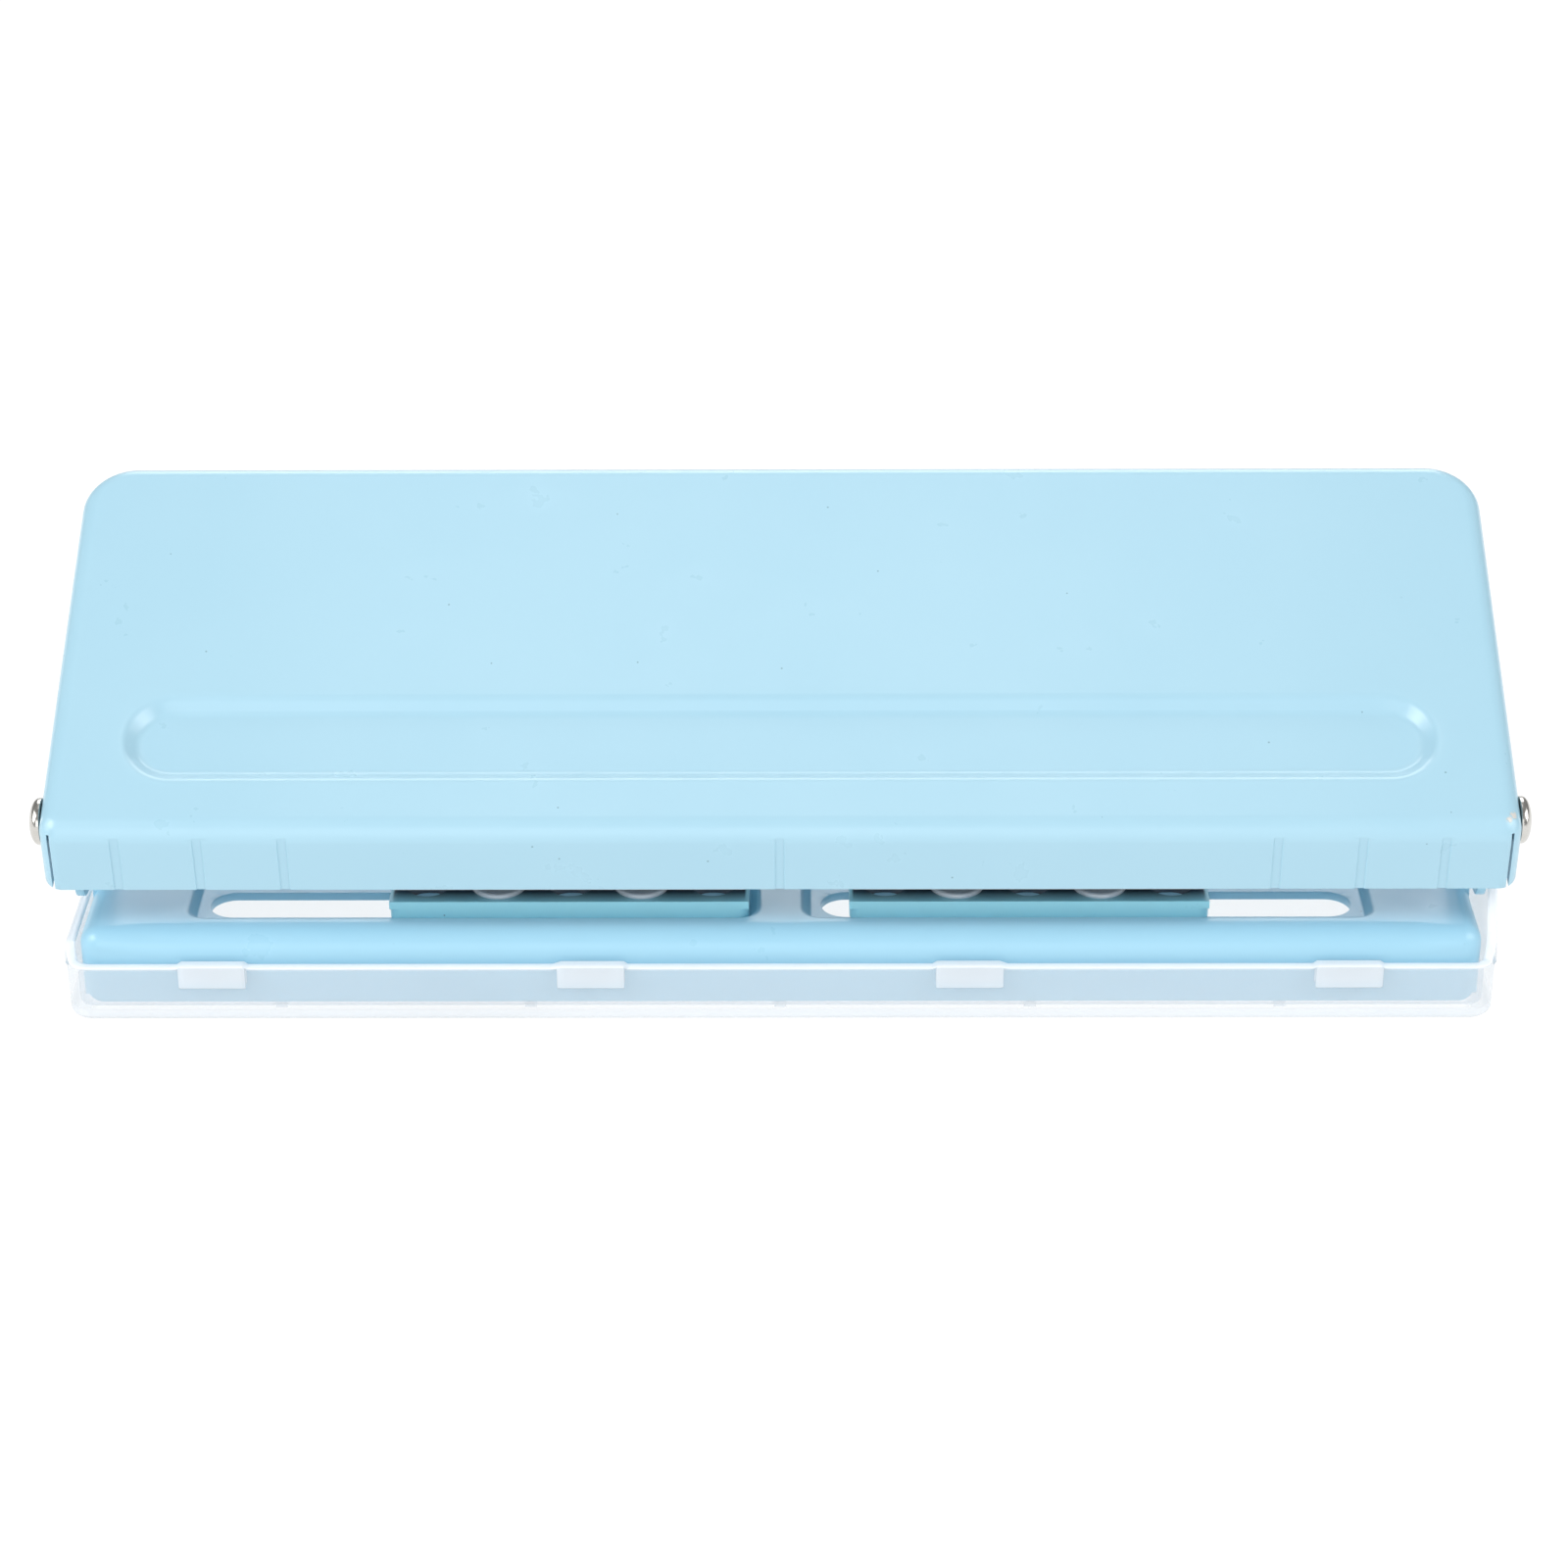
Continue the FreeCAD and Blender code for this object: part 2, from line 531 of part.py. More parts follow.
def handle_plate():
    """Return the pressed lever plate with its flanges, groove, marks and pivot holes."""
    outer = handle_shell(0, 0, HANDLE_CORNER_RADIUS, HANDLE_BEND_RADIUS)
    inner = handle_shell(HANDLE_SHEET, MARGIN, HANDLE_CORNER_RADIUS - HANDLE_SHEET,
                         HANDLE_BEND_RADIUS - HANDLE_SHEET)
    shape = outer.cut(inner)
    shape = shape.fuse(groove(GROOVE_OUTER_EXTRA, -HANDLE_SHEET, -GROOVE_SINK - HANDLE_SHEET))
    cutters = [groove(0, 0, -GROOVE_SINK)] + tick_cutters() + flange_gap_cutters()
    hole = (PIVOT_SHANK_DIAMETER + 2 * PIVOT_FIT) / 2
    cutters.append(Part.makeCylinder(hole, HANDLE_LENGTH + 2 * MARGIN,
                                     V(-HANDLE_LENGTH / 2 - MARGIN, PIVOT_FROM_FRONT, -PIVOT_BELOW_TOP),
                                     V(1, 0, 0)))
    return to_rest_tilt(shape.cut(cutters).removeSplitter())


def turned_part(side, steps):
    """Return a turned part on the pivot axis from (start, end, diameter) steps measured outwards."""
    solids = []
    for start, end, diameter in steps:
        low, high = sorted((side * start, side * end))
        solids.append(Part.makeCylinder(diameter / 2, high - low, V(low, PIVOT_Y, PIVOT_Z), V(1, 0, 0)))
    shape = solids[0]
    for solid in solids[1:]:
        shape = shape.fuse(solid)
    return shape.removeSplitter()


def pivot_rivet(side):
    """Return one hinge rivet: domed head outside the lever plate and a tail inside the ear."""
    head_start = HANDLE_LENGTH / 2 + PIVOT_HEAD_GAP
    head_end = head_start + PIVOT_HEAD_HEIGHT
    shape = turned_part(side, [(EAR_INNER, head_start, PIVOT_SHANK_DIAMETER),
                               (head_start, head_end, PIVOT_HEAD_DIAMETER),
                               (EAR_INNER - PIVOT_TAIL_HEIGHT, EAR_INNER, PIVOT_TAIL_DIAMETER)])
    rim = [edge for edge in shape.Edges
           if abs(edge.BoundBox.XMin - side * head_end) < TOLERANCE
           and edge.BoundBox.XLength < TOLERANCE]
    return shape.makeFillet(PIVOT_HEAD_HEIGHT * 3 / 4, rim)


def pivot_spacer(side):
    """Return the bush that keeps the lever plate's side skirt clear of the ear."""
    solid = turned_part(side, [(EAR_OUTER, HANDLE_INNER - SPACER_SIDE_GAP, SPACER_OUTER_DIAMETER)])
    bore = turned_part(side, [(EAR_OUTER - MARGIN, HANDLE_INNER + MARGIN, PIVOT_SHANK_DIAMETER)])
    return solid.cut(bore)


def hole_row(xs, diameter, z0, z1):
    """Return the cutters for a row of holes on the punching line."""
    return [cylinder(x, PIN_Y, z0, z1, diameter) for x in xs]


def guide_tabs(centre, grow):
    """Return the two tabs that hold the lower guide in the frame's rear web, grown for their slots."""
    tabs = []
    for side in (-1, 1):
        x = centre + side * GUIDE_TAB_SPACING / 2
        half = GUIDE_TAB_LENGTH / 2 + grow
        tabs.append(box(x - half, x + half, UNIT_REAR - UNIT_SHEET * 2 + Y_SHIFT, UNIT_REAR + Y_SHIFT,
                        GUIDE_BOTTOM - grow, GUIDE_TOP + grow))
    return tabs


def punch_frame(centre):
    """Return a unit's folded frame: die leg, rear web that stops the paper, and upper guide leg."""
    x0, x1 = centre - UNIT_HALF, centre + UNIT_HALF
    front, rear = UNIT_FRONT + Y_SHIFT, UNIT_REAR + Y_SHIFT
    bend = UNIT_BEND_RADIUS + UNIT_SHEET
    outer = side_prism([(front, SLIDE_TOP), (rear, SLIDE_TOP), (rear, UNIT_TOP), (front, UNIT_TOP)],
                       [0, bend, bend, 0], x0, x1)
    ceiling = UNIT_TOP - UNIT_SHEET
    inner = side_prism([(front - MARGIN, DIE_TOP), (rear - UNIT_SHEET, DIE_TOP),
                        (rear - UNIT_SHEET, ceiling), (front - MARGIN, ceiling)],
                       [0, UNIT_BEND_RADIUS, UNIT_BEND_RADIUS, 0], x0 - MARGIN, x1 + MARGIN)
    shape = outer.cut(inner)
    cutters = hole_row(pin_xs(centre), PIN_DIAMETER + 2 * PIN_FIT,
                       SLIDE_TOP - MARGIN, UNIT_TOP + MARGIN)
    cutters += hole_row(rivet_xs(centre), RIVET_SHANK_DIAMETER, SLIDE_TOP - MARGIN, DIE_TOP + MARGIN)
    cutters += guide_tabs(centre, GUIDE_TAB_CLEARANCE)
    return shape.cut(cutters).removeSplitter()


def lower_guide(centre):
    """Return the plate above the paper gap that guides the pins and seats their springs."""
    x0, x1 = centre - UNIT_HALF, centre + UNIT_HALF
    front = UNIT_FRONT + GUIDE_FRONT_INSET + Y_SHIFT
    rear = UNIT_REAR - UNIT_SHEET + Y_SHIFT
    plate = rounded_block(x0, x1, front, rear, GUIDE_BOTTOM, GUIDE_TOP, GUIDE_CORNER)
    plate = plate.fuse(guide_tabs(centre, 0))
    holes = hole_row(pin_xs(centre), PIN_DIAMETER + 2 * PIN_FIT,
                     GUIDE_BOTTOM - MARGIN, GUIDE_TOP + MARGIN)
    return plate.cut(holes).removeSplitter()


def slide_plate(centre):
    """Return the plate that runs on the pocket floor and carries the frame."""
    plate = rounded_block(centre - UNIT_HALF, centre + UNIT_HALF,
                          UNIT_FRONT + Y_SHIFT, UNIT_REAR + Y_SHIFT,
                          SLIDE_BOTTOM, SLIDE_TOP, SLIDE_PLATE_CORNER)
    low, high = SLIDE_BOTTOM - MARGIN, SLIDE_TOP + MARGIN
    holes = hole_row(pin_xs(centre), PIN_DIAMETER + CHIP_HOLE_EXTRA, low, high)
    holes += hole_row(rivet_xs(centre), RIVET_SHANK_DIAMETER, low, high)
    return plate.cut(holes)


def keeper_plate(centre):
    """Return the plate under the base that keeps the unit down in its slot."""
    half = UNIT_HALF - KEEPER_END_INSET
    plate = rounded_block(centre - half, centre + half,
                          PIN_Y - KEEPER_DEPTH / 2, PIN_Y + KEEPER_DEPTH / 2,
                          KEEPER_BOTTOM, KEEPER_TOP, KEEPER_CORNER)
    low, high = KEEPER_BOTTOM - MARGIN, KEEPER_TOP + MARGIN
    holes = hole_row(pin_xs(centre), PIN_DIAMETER + 2 * CHIP_HOLE_EXTRA, low, high)
    holes += hole_row(rivet_xs(centre), RIVET_SHANK_DIAMETER, low, high)
    return plate.cut(holes)


def guide_rivets(centre):
    """Return the two shouldered rivets that clamp a unit round the base and run in the slot."""
    rivets = []
    for x in rivet_xs(centre):
        crown = DIE_TOP + RIVET_HEAD_HEIGHT
        head = cylinder(x, PIN_Y, DIE_TOP, crown, RIVET_HEAD_DIAMETER)
        head = head.makeFillet(RIVET_HEAD_HEIGHT * 2 / 3, edges_at_height(head, crown))
        shank = cylinder(x, PIN_Y, KEEPER_BOTTOM, DIE_TOP, RIVET_SHANK_DIAMETER)
        shoulder = cylinder(x, PIN_Y, KEEPER_TOP, SLIDE_BOTTOM, SLOT_WIDTH - RIVET_SHOULDER_CLEARANCE)
        tail = cylinder(x, PIN_Y, KEEPER_BOTTOM - RIVET_TAIL_HEIGHT, KEEPER_BOTTOM, RIVET_TAIL_DIAMETER)
        rivets.append(head.fuse([shank, shoulder, tail]).removeSplitter())
    return Part.makeCompound(rivets)


def punch_pin(x):
    """Return one punch pin: domed top, clip groove and a notched cutting end."""
    radius = PIN_DIAMETER / 2
    bar = cylinder(x, PIN_Y, PIN_TIP, PIN_TOP, PIN_DIAMETER)
    dome = Part.makeSphere(PIN_DOME_RADIUS, V(x, PIN_Y, DOME_CENTRE))
    below_dome = cylinder(x, PIN_Y, PIN_TIP, DOME_CENTRE, PIN_DIAMETER)
    bar = bar.common(dome.fuse(below_dome))
    ring = cylinder(x, PIN_Y, CLIP_BOTTOM, CLIP_TOP, PIN_DIAMETER + MARGIN)
    ring = ring.cut(cylinder(x, PIN_Y, CLIP_BOTTOM, CLIP_TOP, CLIP_GROOVE_DIAMETER))
    reach = radius + MARGIN
    low = PIN_TIP - MARGIN
    notch = [V(x - radius, PIN_Y - reach, PIN_TIP), V(x, PIN_Y - reach, PIN_TIP + PIN_NOTCH_DEPTH),
             V(x + radius, PIN_Y - reach, PIN_TIP), V(x + radius, PIN_Y - reach, low),
             V(x - radius, PIN_Y - reach, low)]
    wedge = Part.Face(rounded_wire(notch, [0] * len(notch))).extrude(V(0, 2 * reach, 0))
    return bar.cut([ring, wedge])


def pin_clip(x):
    """Return the open ring that sits in the pin's groove under the upper guide."""
    ring = cylinder(x, PIN_Y, CLIP_BOTTOM, CLIP_TOP, CLIP_OUTER_DIAMETER)
    hole = cylinder(x, PIN_Y, CLIP_BOTTOM, CLIP_TOP, CLIP_GROOVE_DIAMETER)
    half_mouth = CLIP_GROOVE_DIAMETER / 2 - CLIP_MOUTH_INSET
    mouth = box(x - half_mouth, x + half_mouth, PIN_Y - CLIP_OUTER_DIAMETER, PIN_Y,
                CLIP_BOTTOM, CLIP_TOP)
    return ring.cut([hole, mouth])


def return_spring(x):
    """Return the coil spring between the lower guide and the clip."""
    low = GUIDE_TOP + SPRING_GAP + SPRING_WIRE / 2
    high = CLIP_BOTTOM - SPRING_GAP - SPRING_WIRE / 2
    radius = SPRING_MEAN_DIAMETER / 2
    path = Part.makeHelix((high - low) / SPRING_TURNS, high - low, radius)
    section = Part.Wire([Part.makeCircle(SPRING_WIRE / 2, V(radius, 0, 0), V(0, 1, 0))])
    coil = Part.Wire(path).makePipeShell([section], True, True)
    coil.translate(V(x, PIN_Y, low))
    return coil


def unit_parts(name, side, offset):
    """Return every solid of one sliding unit, keyed by its node name."""
    centre = side * (UNIT_INNER_STOP + offset)
    parts = {
        name + "_punch_frame": punch_frame(centre),
        name + "_lower_guide": lower_guide(centre),
        name + "_slide_plate": slide_plate(centre),
        name + "_keeper_plate": keeper_plate(centre),
        name + "_guide_rivets": guide_rivets(centre),
    }
    for number, x in enumerate(pin_xs(centre), start=1):
        parts["%s_punch_pin_%d" % (name, number)] = punch_pin(x)
        parts["%s_pin_clip_%d" % (name, number)] = pin_clip(x)
        parts["%s_return_spring_%d" % (name, number)] = return_spring(x)
    return parts


def build():
    """Return every solid of the punch, keyed by its node name."""
    parts = {
        "base_plate": base_plate(),
        "chip_tray": chip_tray(),
        "handle_plate": handle_plate(),
    }
    for name, side in (("left", -1), ("right", 1)):
        parts[name + "_pivot_rivet"] = pivot_rivet(side)
        parts[name + "_pivot_spacer"] = pivot_spacer(side)
    parts.update(unit_parts("left", -1, LEFT_UNIT_OFFSET))
    parts.update(unit_parts("right", 1, RIGHT_UNIT_OFFSET))
    return parts


def report(parts):
    """Print each solid's state, and the sizes that the joints need."""
    for name, shape in sorted(parts.items()):
        bounds = shape.BoundBox
        print("%-24s solids %d valid %s volume %.1f  x %.2f..%.2f y %.2f..%.2f z %.2f..%.2f" % (
            name, len(shape.Solids), shape.isValid(), shape.Volume, bounds.XMin, bounds.XMax,
            bounds.YMin, bounds.YMax, bounds.ZMin, bounds.ZMax))
    print("pivot y %.3f z %.3f" % (PIVOT_Y, PIVOT_Z))
    print("unit stops %.3f %.3f" % (UNIT_INNER_STOP, UNIT_OUTER_STOP))
    print("pin line y %.3f, tip %.3f, top %.3f, arm %.3f" % (PIN_Y, PIN_TIP, PIN_TOP, PIN_ARM))
    print("spring from %.3f to %.3f" % (GUIDE_TOP + SPRING_GAP, CLIP_BOTTOM - SPRING_GAP))


os.makedirs("parts", exist_ok=True)
ALL_PARTS = build()
for node, solid in ALL_PARTS.items():
    solid.exportStep("parts/" + node + ".step")
report(ALL_PARTS)
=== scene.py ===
"""Studio scene of an adjustable organiser punch, dressed around its packed mechanical frame.

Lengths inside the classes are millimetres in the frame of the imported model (+X along the long
side, +Y away from the paper edge, +Z up from the surface it stands on); meshes are made in metres.
"""

import json
import logging
import math
from dataclasses import dataclass
from enum import Enum
from typing import Callable, Optional, Sequence, Union

import bmesh
import bpy
from mathutils import Matrix, Vector


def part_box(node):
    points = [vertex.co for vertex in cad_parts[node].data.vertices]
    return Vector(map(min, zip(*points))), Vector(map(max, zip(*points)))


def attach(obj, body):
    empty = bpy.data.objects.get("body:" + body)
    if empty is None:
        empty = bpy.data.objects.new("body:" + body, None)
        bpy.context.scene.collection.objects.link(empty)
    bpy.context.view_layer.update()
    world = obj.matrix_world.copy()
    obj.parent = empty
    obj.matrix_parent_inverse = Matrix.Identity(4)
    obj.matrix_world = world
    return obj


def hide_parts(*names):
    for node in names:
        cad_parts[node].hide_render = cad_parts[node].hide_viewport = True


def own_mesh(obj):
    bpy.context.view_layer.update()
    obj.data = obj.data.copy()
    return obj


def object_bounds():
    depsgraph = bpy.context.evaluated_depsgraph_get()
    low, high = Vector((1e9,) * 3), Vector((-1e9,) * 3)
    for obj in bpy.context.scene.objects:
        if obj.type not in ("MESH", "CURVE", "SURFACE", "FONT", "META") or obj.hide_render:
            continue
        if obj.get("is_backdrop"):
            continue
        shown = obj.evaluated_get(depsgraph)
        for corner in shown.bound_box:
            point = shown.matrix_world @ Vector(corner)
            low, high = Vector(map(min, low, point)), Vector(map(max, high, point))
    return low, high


LOG = logging.getLogger("punch_scene")
MM = 0.001

# Largest gap between samples on a long straight edge, and a gap that keeps neighbouring points apart.
STRAIGHT_STEP = 2.0
HAIR = 0.01

# Parts of a wall's normal: flat on to an axis, turned at all towards an end, and still on a long side.
SQUARE_ON = 0.9
END_FACING = 0.05
SIDE_FACING = 0.995

# The range that most of a noise texture's values lie in.
NOISE_LOW = 0.3
NOISE_HIGH = 0.7

# The tabs along the tray's long sides, which both its shape and its plastic follow.
TAB_PITCH = 49.8
TAB_WIDTH = 8.9
TAB_BOTTOM = 4.9

Socket = bpy.types.NodeSocket
Colour = tuple[float, float, float]
Place = tuple[float, float, float]


class Slot(Enum):
    """Material slots of the record."""

    ENAMEL = "blue_enamel"
    TRAY = "frosted_plastic"
    NICKEL = "nickel"
    SPRING = "spring_steel"


class End(Enum):
    """The two ends of the punch, with the sign of their X."""

    LEFT = -1
    RIGHT = 1


# ---------------------------------------------------------------------------------------------
# Outlines and ring-built meshes
# ---------------------------------------------------------------------------------------------


@dataclass(frozen=True)
class Sample:
    """One point of a closed level outline, with its outward normal."""

    x: float
    y: float
    nx: float
    ny: float


@dataclass(frozen=True)
class Corner:
    """One corner of an outline, with its rounding radius."""

    x: float
    y: float
    radius: float


Measure = Union[float, Callable[[Sample], float]]
Ring = list[bmesh.types.BMVert]


def smooth(t: float) -> float:
    """Return a soft step from 0 to 1 as t goes from 0 to 1."""
    t = min(1.0, max(0.0, t))
    return t * t * (3 - 2 * t)


def rectangle(x0: float, x1: float, y0: float, y1: float, front: float, rear: float) -> list[Corner]:
    """Return the four corners of a level rectangle, anticlockwise from the front left.

    Args:
        x0: lowest X.
        x1: highest X.
        y0: lowest Y, the front.
        y1: highest Y, the rear.
        front: radius of the two front corners.
        rear: radius of the two rear corners.

    Returns:
        The corners in order.
    """
    return [Corner(x0, y0, front), Corner(x1, y0, front), Corner(x1, y1, rear), Corner(x0, y1, rear)]


def corner_arc(before: Corner, here: Corner, after: Corner, steps: int) -> list[Sample]:
    """Sample the rounding of one corner of an anticlockwise outline.

    Args:
        before: the corner before this one.
        here: the corner to round.
        after: the corner after this one.
        steps: number of steps round the arc.

    Returns:
        The samples from the start of the arc to its end.
    """
    point = Vector((here.x, here.y))
    back = (Vector((before.x, before.y)) - point).normalized()
    ahead = (Vector((after.x, after.y)) - point).normalized()
    half = back.angle(ahead) / 2
    centre = point + (back + ahead).normalized() * (here.radius / math.sin(half))
    first = math.atan2(back.x, -back.y)
    turn = math.pi - 2 * half
    samples = []
    for step in range(steps + 1):
        angle = first + turn * step / steps
        nx, ny = math.cos(angle), math.sin(angle)
        samples.append(Sample(centre.x + nx * here.radius, centre.y + ny * here.radius, nx, ny))
    return samples


def sample_outline(corners: Sequence[Corner], spacing: float, arc_steps: int) -> list[Sample]:
    """Walk an anticlockwise outline and sample its straights and rounded corners.

    Args:
        corners: the corners in anticlockwise order.
        spacing: largest gap between samples on a straight.
        arc_steps: number of steps round each corner.

    Returns:
        The samples in order, without repeats.
    """
    count = len(corners)
    arcs = [corner_arc(corners[i - 1], corners[i], corners[(i + 1) % count], arc_steps)
            for i in range(count)]
    samples: list[Sample] = []
    for index, arc in enumerate(arcs):
        samples.extend(arc)
        start, end = arc[-1], arcs[(index + 1) % count][0]
        steps = max(1, math.ceil(math.hypot(end.x - start.x, end.y - start.y) / spacing))
        for step in range(1, steps):
            t = step / steps
            samples.append(Sample(start.x + (end.x - start.x) * t, start.y + (end.y - start.y) * t,
                                  start.nx, start.ny))
    return samples


def fillet_arc(before: Sequence[float], here: Sequence[float], after: Sequence[float],
               radius: float, steps: int) -> list[tuple[float, float]]:
    """Round one corner of a section, whichever way it turns.

    Args:
        before: the point before the corner.
        here: the corner.
        after: the point after the corner.
        radius: radius of the rounding.
        steps: number of steps round the arc.

    Returns:
        The points of the arc.
    """
    point = Vector(here[:2])
    back = (Vector(before[:2]) - point).normalized()
    ahead = (Vector(after[:2]) - point).normalized()
    half = back.angle(ahead) / 2
    setback = radius / math.tan(half)
    centre = point + (back + ahead).normalized() * (radius / math.sin(half))
    first = point + back * setback - centre
    last = point + ahead * setback - centre
    turn = -first.angle_signed(last)
    points = []
    for step in range(steps + 1):
        spoke = first.copy()
        spoke.rotate(Matrix.Rotation(turn * step / steps, 2))
        points.append(tuple(centre + spoke))
    return points


def filleted(points: Sequence[tuple[float, float, float]], steps: int) -> list[tuple[float, float]]:
    """Round the inner corners of an open profile.

    Args:
        points: (across, up, radius) corners of the profile.
        steps: number of steps round each corner.

    Returns:
        The (across, up) points of the rounded profile.
    """
    result = [points[0][:2]]
    for before, here, after in zip(points, points[1:], points[2:]):
        result.extend(fillet_arc(before, here, after, here[2], steps))
    result.append(points[-1][:2])
    return result


def measured(value: Measure, sample: Sample) -> float:
    """Return a measure at one sample of an outline."""
    return value(sample) if callable(value) else value


class RingMesh:
    """A mesh built from rings that follow an outline, bridged with quads and capped flat."""

    def __init__(self) -> None:
        """Start an empty mesh."""
        self.bm = bmesh.new()

    def ring(self, samples: Sequence[Sample], inset: Measure, height: Measure,
             shift_y: Measure = 0.0) -> Ring:
        """Add one ring of vertices.

        Args:
            samples: the outline.
            inset: distance inwards from the outline.
            height: height of the ring.
            shift_y: extra move along Y.

        Returns:
            The vertices in order.
        """
        verts = []
        for sample in samples:
            inwards = measured(inset, sample)
            verts.append(self.bm.verts.new((sample.x - sample.nx * inwards,
                                            sample.y - sample.ny * inwards + measured(shift_y, sample),
                                            measured(height, sample))))
        return verts

    def bridge(self, first: Ring, second: Ring) -> None:
        """Join two rings of the same length with quads."""
        count = len(first)
        for i in range(count):
            j = (i + 1) % count
            self.bm.faces.new((first[i], first[j], second[j], second[i]))

    def stack(self, rings: Sequence[Ring]) -> None:
        """Bridge each ring of a list to the next."""
        for first, second in zip(rings, rings[1:]):
            self.bridge(first, second)

    def cap(self, outer: Ring, holes: Sequence[Ring] = ()) -> None:
        """Fill a flat area bounded by a ring, leaving holes open.

        Args:
            outer: the ring round the area.
            holes: the rings of the holes in it.
        """
        if not holes:
            self.bm.faces.new(outer)
            return
        edges = []
        for loop in [outer, *holes]:
            for i, vert in enumerate(loop):
                pair = (vert, loop[(i + 1) % len(loop)])
                edges.append(self.bm.edges.get(pair) or self.bm.edges.new(pair))
        bmesh.ops.triangle_fill(self.bm, use_beauty=True, use_dissolve=False, edges=edges)

    def add_plate(self, points: Sequence[Vector], thickness: Vector) -> None:
        """Add a closed flat plate.

        Args:
            points: the corners of one face.
            thickness: the way from that face to the other.
        """
        near = [self.bm.verts.new(point) for point in points]
        far = [self.bm.verts.new(point + thickness) for point in points]
        self.bm.faces.new(near)
        self.bm.faces.new(list(reversed(far)))
        self.bridge(near, far)

    def face_up(self) -> None:
        """Make the normals of an open sheet agree, with its flat top facing up."""
        bmesh.ops.recalc_face_normals(self.bm, faces=self.bm.faces)
        widest = max(self.bm.faces, key=lambda face: abs(face.normal.z) * face.calc_area())
        if widest.normal.z < 0:
            bmesh.ops.reverse_faces(self.bm, faces=self.bm.faces)

    def make(self, name: str, place: Optional[Matrix] = None, closed: bool = True) -> bpy.types.Object:
        """Turn the mesh into an object in metres.

        Args:
            name: name of the object.
            place: how the mesh is moved, in millimetres, before it is scaled.
            closed: True for a closed solid, whose normals all face outwards.

        Returns:
            The new object.
        """
        if closed:
            bmesh.ops.recalc_face_normals(self.bm, faces=self.bm.faces)
        else:
            self.face_up()
        if place is not None:
            self.bm.transform(place)
        self.bm.transform(Matrix.Scale(MM, 4))
        mesh = bpy.data.meshes.new(name)
        self.bm.to_mesh(mesh)
        self.bm.free()
        obj = bpy.data.objects.new(name, mesh)
        bpy.context.scene.collection.objects.link(obj)
        return obj


def solidify(obj: bpy.types.Object, thickness: float) -> None:
    """Give an open sheet its thickness, on the side away from its normals.

    Args:
        obj: the sheet.
        thickness: its thickness.
    """
    modifier = obj.modifiers.new("sheet", "SOLIDIFY")
    modifier.thickness = thickness * MM
    modifier.offset = -1
    modifier.use_even_offset = True
    modifier.use_quality_normals = True


def soften(obj: bpy.types.Object, width: float) -> None:
    """Round the sharp edges of a piece.

    Args:
        obj: the piece.
        width: width of the rounding.
    """
    modifier = obj.modifiers.new("soft_edges", "BEVEL")
    modifier.width = width * MM
    modifier.segments = 2
    modifier.limit_method = "ANGLE"
    modifier.angle_limit = math.radians(50)
    modifier.use_clamp_overlap = True
    modifier.miter_outer = "MITER_ARC"


def carve(obj: bpy.types.Object, cutter: bpy.types.Object) -> None:
    """Take the cutter's shape out of a piece.

    Args:
        obj: the piece.
        cutter: the closed solid to take away.
    """
    modifier = obj.modifiers.new("cut", "BOOLEAN")
    modifier.operation = "DIFFERENCE"
    modifier.solver = "EXACT"
    modifier.object = cutter


def freeze(obj: bpy.types.Object, smooth_angle: float = 32.0, weighted: bool = True) -> None:
    """Bake a piece's modifiers into its mesh and shade it smooth between its sharp edges.

    Args:
        obj: the piece.
        smooth_angle: edges that turn more than this many degrees stay sharp.
        weighted: True to let the large faces set the normals, which keeps flat sheet flat.
    """
    graph = bpy.context.evaluated_depsgraph_get()
    graph.update()
    baked = bpy.data.meshes.new_from_object(obj.evaluated_get(graph))
    obj.modifiers.clear()
    obj.data = baked
    for polygon in baked.polygons:
        polygon.use_smooth = True
    baked.set_sharp_from_angle(angle=math.radians(smooth_angle))
    if weighted:
        modifier = obj.modifiers.new("flat_stays_flat", "WEIGHTED_NORMAL")
        modifier.keep_sharp = True


def dress(obj: bpy.types.Object, body: str, material: bpy.types.Material,
          replaces: Sequence[str] = ()) -> bpy.types.Object:
    """Hand a finished piece to its body, its finish and the nodes that it stands for.

    Args:
        obj: the piece.
        body: the body that it moves with.
        material: its material.
        replaces: names of the nodes that it stands for.

    Returns:
        The same piece.
    """
    obj.data.materials.clear()
    obj.data.materials.append(material)
    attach(obj, body)
    if replaces:
        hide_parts(*replaces)
    LOG.info("piece %s rides %s, stands for %s", obj.name, body, ", ".join(replaces) or "nothing")
    return obj


# ---------------------------------------------------------------------------------------------
# Finishes
# ---------------------------------------------------------------------------------------------


